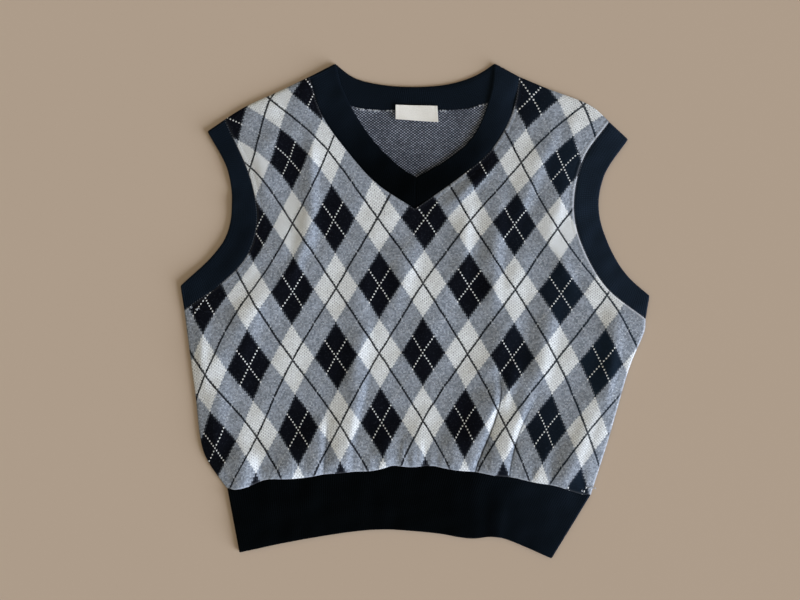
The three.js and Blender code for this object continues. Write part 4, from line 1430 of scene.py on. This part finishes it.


# %% [markdown]
# ## The ribbing
#
# The bands are a finer, near-black yarn. Its ribs are in the mesh, so the finish adds only the stitches up
# each rib, with painted shade between them, the hairs, and a faint paler, bluer bloom that is painted sheen
# where the light catches the wool: outwards, over the shoulders, and most on the right.

# %% Knit the ribbing
def rib_knit():
    material, tree, skin = new_finish("Black rib knit", 0.95, 0.015, COLD_TINT)
    body, to_right, height_up = place_of(tree)
    place = knit_place(tree, body, 1.0, 1.0, 0.1)
    knit = use_group(tree, STITCHES, {"Stitches": place, "Lean": 0.5})
    wool = use_group(tree, FIBRES, {"Vector": body, "Fineness": 1800.0})
    # painted sheen: paler and bluer outwards, over the shoulders and most on the right, where the light
    # catches the wool; the hairs add their own random tone
    outward = ramp(tree, calc(tree, "ABSOLUTE", to_right), 0.06, 0.18)
    painted_sheen_out_and_up = calc(tree, "MAXIMUM", outward, ramp(tree, height_up, 0.12, 0.22))
    painted_sheen_out_and_up = product(tree, painted_sheen_out_and_up, ramp(tree, height_up, -0.17, 0.0), 0.35)
    painted_sheen_and_fibres = calc(tree, "ADD", product(tree, ramp(tree, to_right, 0.02, 0.22), 0.5), painted_sheen_out_and_up)
    painted_sheen_and_fibres = product(tree, painted_sheen_and_fibres, raised(tree, cloud(tree, body, 14.0)[0], 0.8, 0.6))
    painted_sheen_and_fibres = calc(tree, "ADD", painted_sheen_and_fibres, raised(tree, wool["Fibres"], 0.2, -0.1))
    colour = mixed(tree, painted_sheen_and_fibres, dye(1, 3, 4), dye(27, 37, 49))
    # painted shade between the stitches
    colour = shaded(tree, colour, raised(tree, knit["Height"], 0.4, 0.7))
    height = raised(tree, wool["Fibres"], 0.5, knit["Height"])
    finish_with(tree, skin, colour, height, 0.5, 0.35)
    return material


rib = rib_knit()
print(f"{rib.name}: {len(rib.node_tree.nodes)} nodes")


# %% [markdown]
# ## Label and threads
#
# The label is a close satin weave, brighter and smoother than the wool round it. Its threads, the
# linking yarn and the loose ends of yarn get plain hairy finishes.

# %% Weave the label and spin the threads
def woven_label():
    material, tree, skin = new_finish("Woven satin label", 0.5, 0.1, NO_TINT, specular=0.4)
    uv = node(tree, "UVMap", uv_map="knit").outputs[0]
    x, y = node(tree, "SeparateXYZ", {0: uv}).outputs[:2]
    slanted = calc(tree, "ADD", x, product(tree, y, 0.5))
    warp = calc(tree, "SINE", product(tree, slanted, 22.0))
    weft = calc(tree, "SINE", product(tree, y, 26.0))
    threads = raised(tree, product(tree, warp, weft), 0.5, 0.5)
    wool = use_group(tree, FIBRES, {"Vector": place_of(tree)[0], "Fineness": 2500.0})
    colour = mixed(tree, threads, dye(190, 189, 182), dye(216, 215, 209))
    colour = mixed(tree, product(tree, wool["Fibres"], 0.3), colour, dye(226, 222, 208))
    finish_with(tree, skin, colour, threads, 0.35, 0.12)
    return material


def spun_yarn(name, darker, paler, fineness):
    material, tree, skin = new_finish(name, 0.9, 0.25, NO_TINT)
    wool = use_group(tree, FIBRES, {"Vector": place_of(tree)[0], "Fineness": fineness})
    colour = mixed(tree, wool["Fibres"], darker, paler)
    finish_with(tree, skin, colour, wool["Fibres"], 0.6, 0.2)
    return material


satin = woven_label()
pale_yarn = spun_yarn("Pale loose yarn", dye(120, 126, 134), dye(206, 210, 214), 1600.0)
linking_yarn = spun_yarn("Linking yarn", dye(34, 38, 44), dye(92, 97, 105), 1200.0)
label_thread = spun_yarn("Label thread", dye(200, 200, 196), dye(244, 244, 240), 2400.0)
print("woven and spun:", ", ".join(made.name for made in (satin, pale_yarn, linking_yarn, label_thread)))


# %% Dress every piece
FINISHES = {
    # each sheet's upper face first, and then its lower face
    front_cloth: [argyle, birdseye],
    back_cloth: [birdseye, argyle],
    arm_rib_left: [rib], arm_rib_right: [rib], hem_rib: [rib], neck_rib: [rib],
    label_cloth: [satin, satin],
    linking_stitches: [linking_yarn],
    loose_yarn: [pale_yarn],
    label_stitches: [label_thread],
}
for piece, finishes in FINISHES.items():
    for finish in finishes:
        piece.data.materials.append(finish)
print(f"{len(FINISHES)} pieces dressed")


# %% [markdown]
# ## The surface, the light and the camera
#
# The vest lies on a plain warm surface. A warm room lights it evenly, and a broad cool window,
# low and to the lower right, grazes the creases, so their slopes turn blue where they face it.
# The camera looks straight down.

# %% Set the surface and the light
SURFACE_DARKER, SURFACE_PALER = dye(169, 152, 133), dye(170, 153, 134)


def plain_surface():
    material, tree, skin = new_finish("Plain surface", 0.95, 0.0, NO_TINT, specular=0.1)
    grain = cloud(tree, place_of(tree)[0], 6.0)[0]
    colour = mixed(tree, grain, SURFACE_DARKER, SURFACE_PALER)
    tree.links.new(colour, skin.inputs["Base Color"])
    return material


surface = bmesh.new()
bmesh.ops.create_grid(surface, x_segments=8, y_segments=8, size=3)
surface_mesh = mesh_from(surface, "surface")
surface_mesh.materials.append(plain_surface())
new_object("surface", surface_mesh)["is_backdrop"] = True

world = bpy.data.worlds.new("Even sky")
world.use_nodes = True
sky = world.node_tree.nodes["Background"].inputs
sky["Color"].default_value = (1.0, 0.92, 0.78, 1)
sky["Strength"].default_value = 0.26
bpy.context.scene.world = world


def far_light(name, source, strength, softness, colour):
    """A broad, far light that shines from a direction, so that it is even across the vest."""
    lamp = bpy.data.lights.new(name, "SUN")
    lamp.energy, lamp.angle, lamp.color = strength, math.radians(softness), colour
    light = new_object(name, lamp)
    light.rotation_euler = Vector(source).to_track_quat("Z", "Y").to_euler()


far_light("window", (0.75, -0.45, 0.28), 7.4, 40, (0.73, 0.80, 0.95))
far_light("room", (-0.15, 0.2, 1.0), 0.84, 90, (1.0, 0.88, 0.70))
print("lit by a low cool window and a warm room")

# %% Set the camera
VIEW_WIDTH, LENS, SENSOR = 0.8, 50, 36
VIEW_CENTRE = (-0.015, 0.011)
lens_data = bpy.data.cameras.new("camera")
lens_data.lens, lens_data.sensor_width = LENS, SENSOR
camera = new_object("camera", lens_data)
camera.location = (*VIEW_CENTRE, VIEW_WIDTH * LENS / SENSOR + band_top * MM)
bpy.context.scene.camera = camera
bpy.context.scene.view_settings.view_transform = "Standard"
print(f"the camera looks down from {camera.location.z:.2f} m")


# %% [markdown]
# ## Fitting it to the frame
#
# Every piece rides on the model's one body, and each sheet of cloth stands for its solid, which is hidden.
# The size that each sheet was cut or knitted to is measured here off the lines it was laid along, and
# printed.

# %% Measure each sheet's flat size
def flat_area(*nets):
    """The area in square metres that panel nets cover."""
    total = 0
    for net in nets:
        across, up = net[1:, :-1] - net[:-1, :-1], net[:-1, 1:] - net[:-1, :-1]
        total += np.abs(across[..., 0] * up[..., 1] - across[..., 1] * up[..., 0]).sum()
    return total * MM * MM


def panel_size(nets):
    points = np.concatenate([net.reshape(-1, 2) for net in nets])
    return [round(float(size), 3) for size in np.ptp(points, axis=0) * MM]


def ring_size(node_name, seam_line, low_high=FRONT_RIM):
    """A band's length all round, and its depth, in metres."""
    seam, edge = band_lines(node_name, seam_line, *low_high)
    depth = np.hypot(*(resample(seam, np.linspace(0, 1, 50)) - resample(edge, np.linspace(0, 1, 50))).T)
    length = run_length(seam) + run_length(edge)
    return [round(length * MM, 3), round(float(depth.mean()) * MM, 3)]


neck_size = ring_size("neck_band", neck_line)
collar_size = ring_size("neck_band", back_collar, back_rim)
neck_size[0] = round((neck_size[0] + collar_size[0]) / 2, 3)

# %% Tie every piece to the model
SHEETS = [
    # piece, node, slot, flat size, flat area where the cut isn't a rectangle
    (front_cloth, "front_panel", "argyle_knit", panel_size(front_nets), flat_area(*front_nets)),
    (back_cloth, "back_panel", "argyle_knit", panel_size(back_nets), flat_area(*back_nets)),
    (arm_rib_left, "arm_band_left", "rib_knit", ring_size("arm_band_left", arm_left), None),
    (arm_rib_right, "arm_band_right", "rib_knit", ring_size("arm_band_right", arm_right), None),
    (hem_rib, "hem_band", "rib_knit", ring_size("hem_band", hem), None),
    (neck_rib, "neck_band", "rib_knit", neck_size, None),
    (label_cloth, "neck_label", "woven_label", [round(size * MM, 3) for size in LABEL_SIZE], None),
]
for piece, node_name, slot, size, area in SHEETS:
    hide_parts(node_name)
    print(f"{piece.name}: {size[0] * 1000:.0f} x {size[1] * 1000:.0f} mm flat")
for piece in FINISHES:
    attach(piece, "root")

# %% Measure the box round the model and round the dressed pieces
sizes = {
    "cad": [list(corner) for corner in model_box],
    "visual": [list(corner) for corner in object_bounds()],
}
print("box:", sizes["visual"])
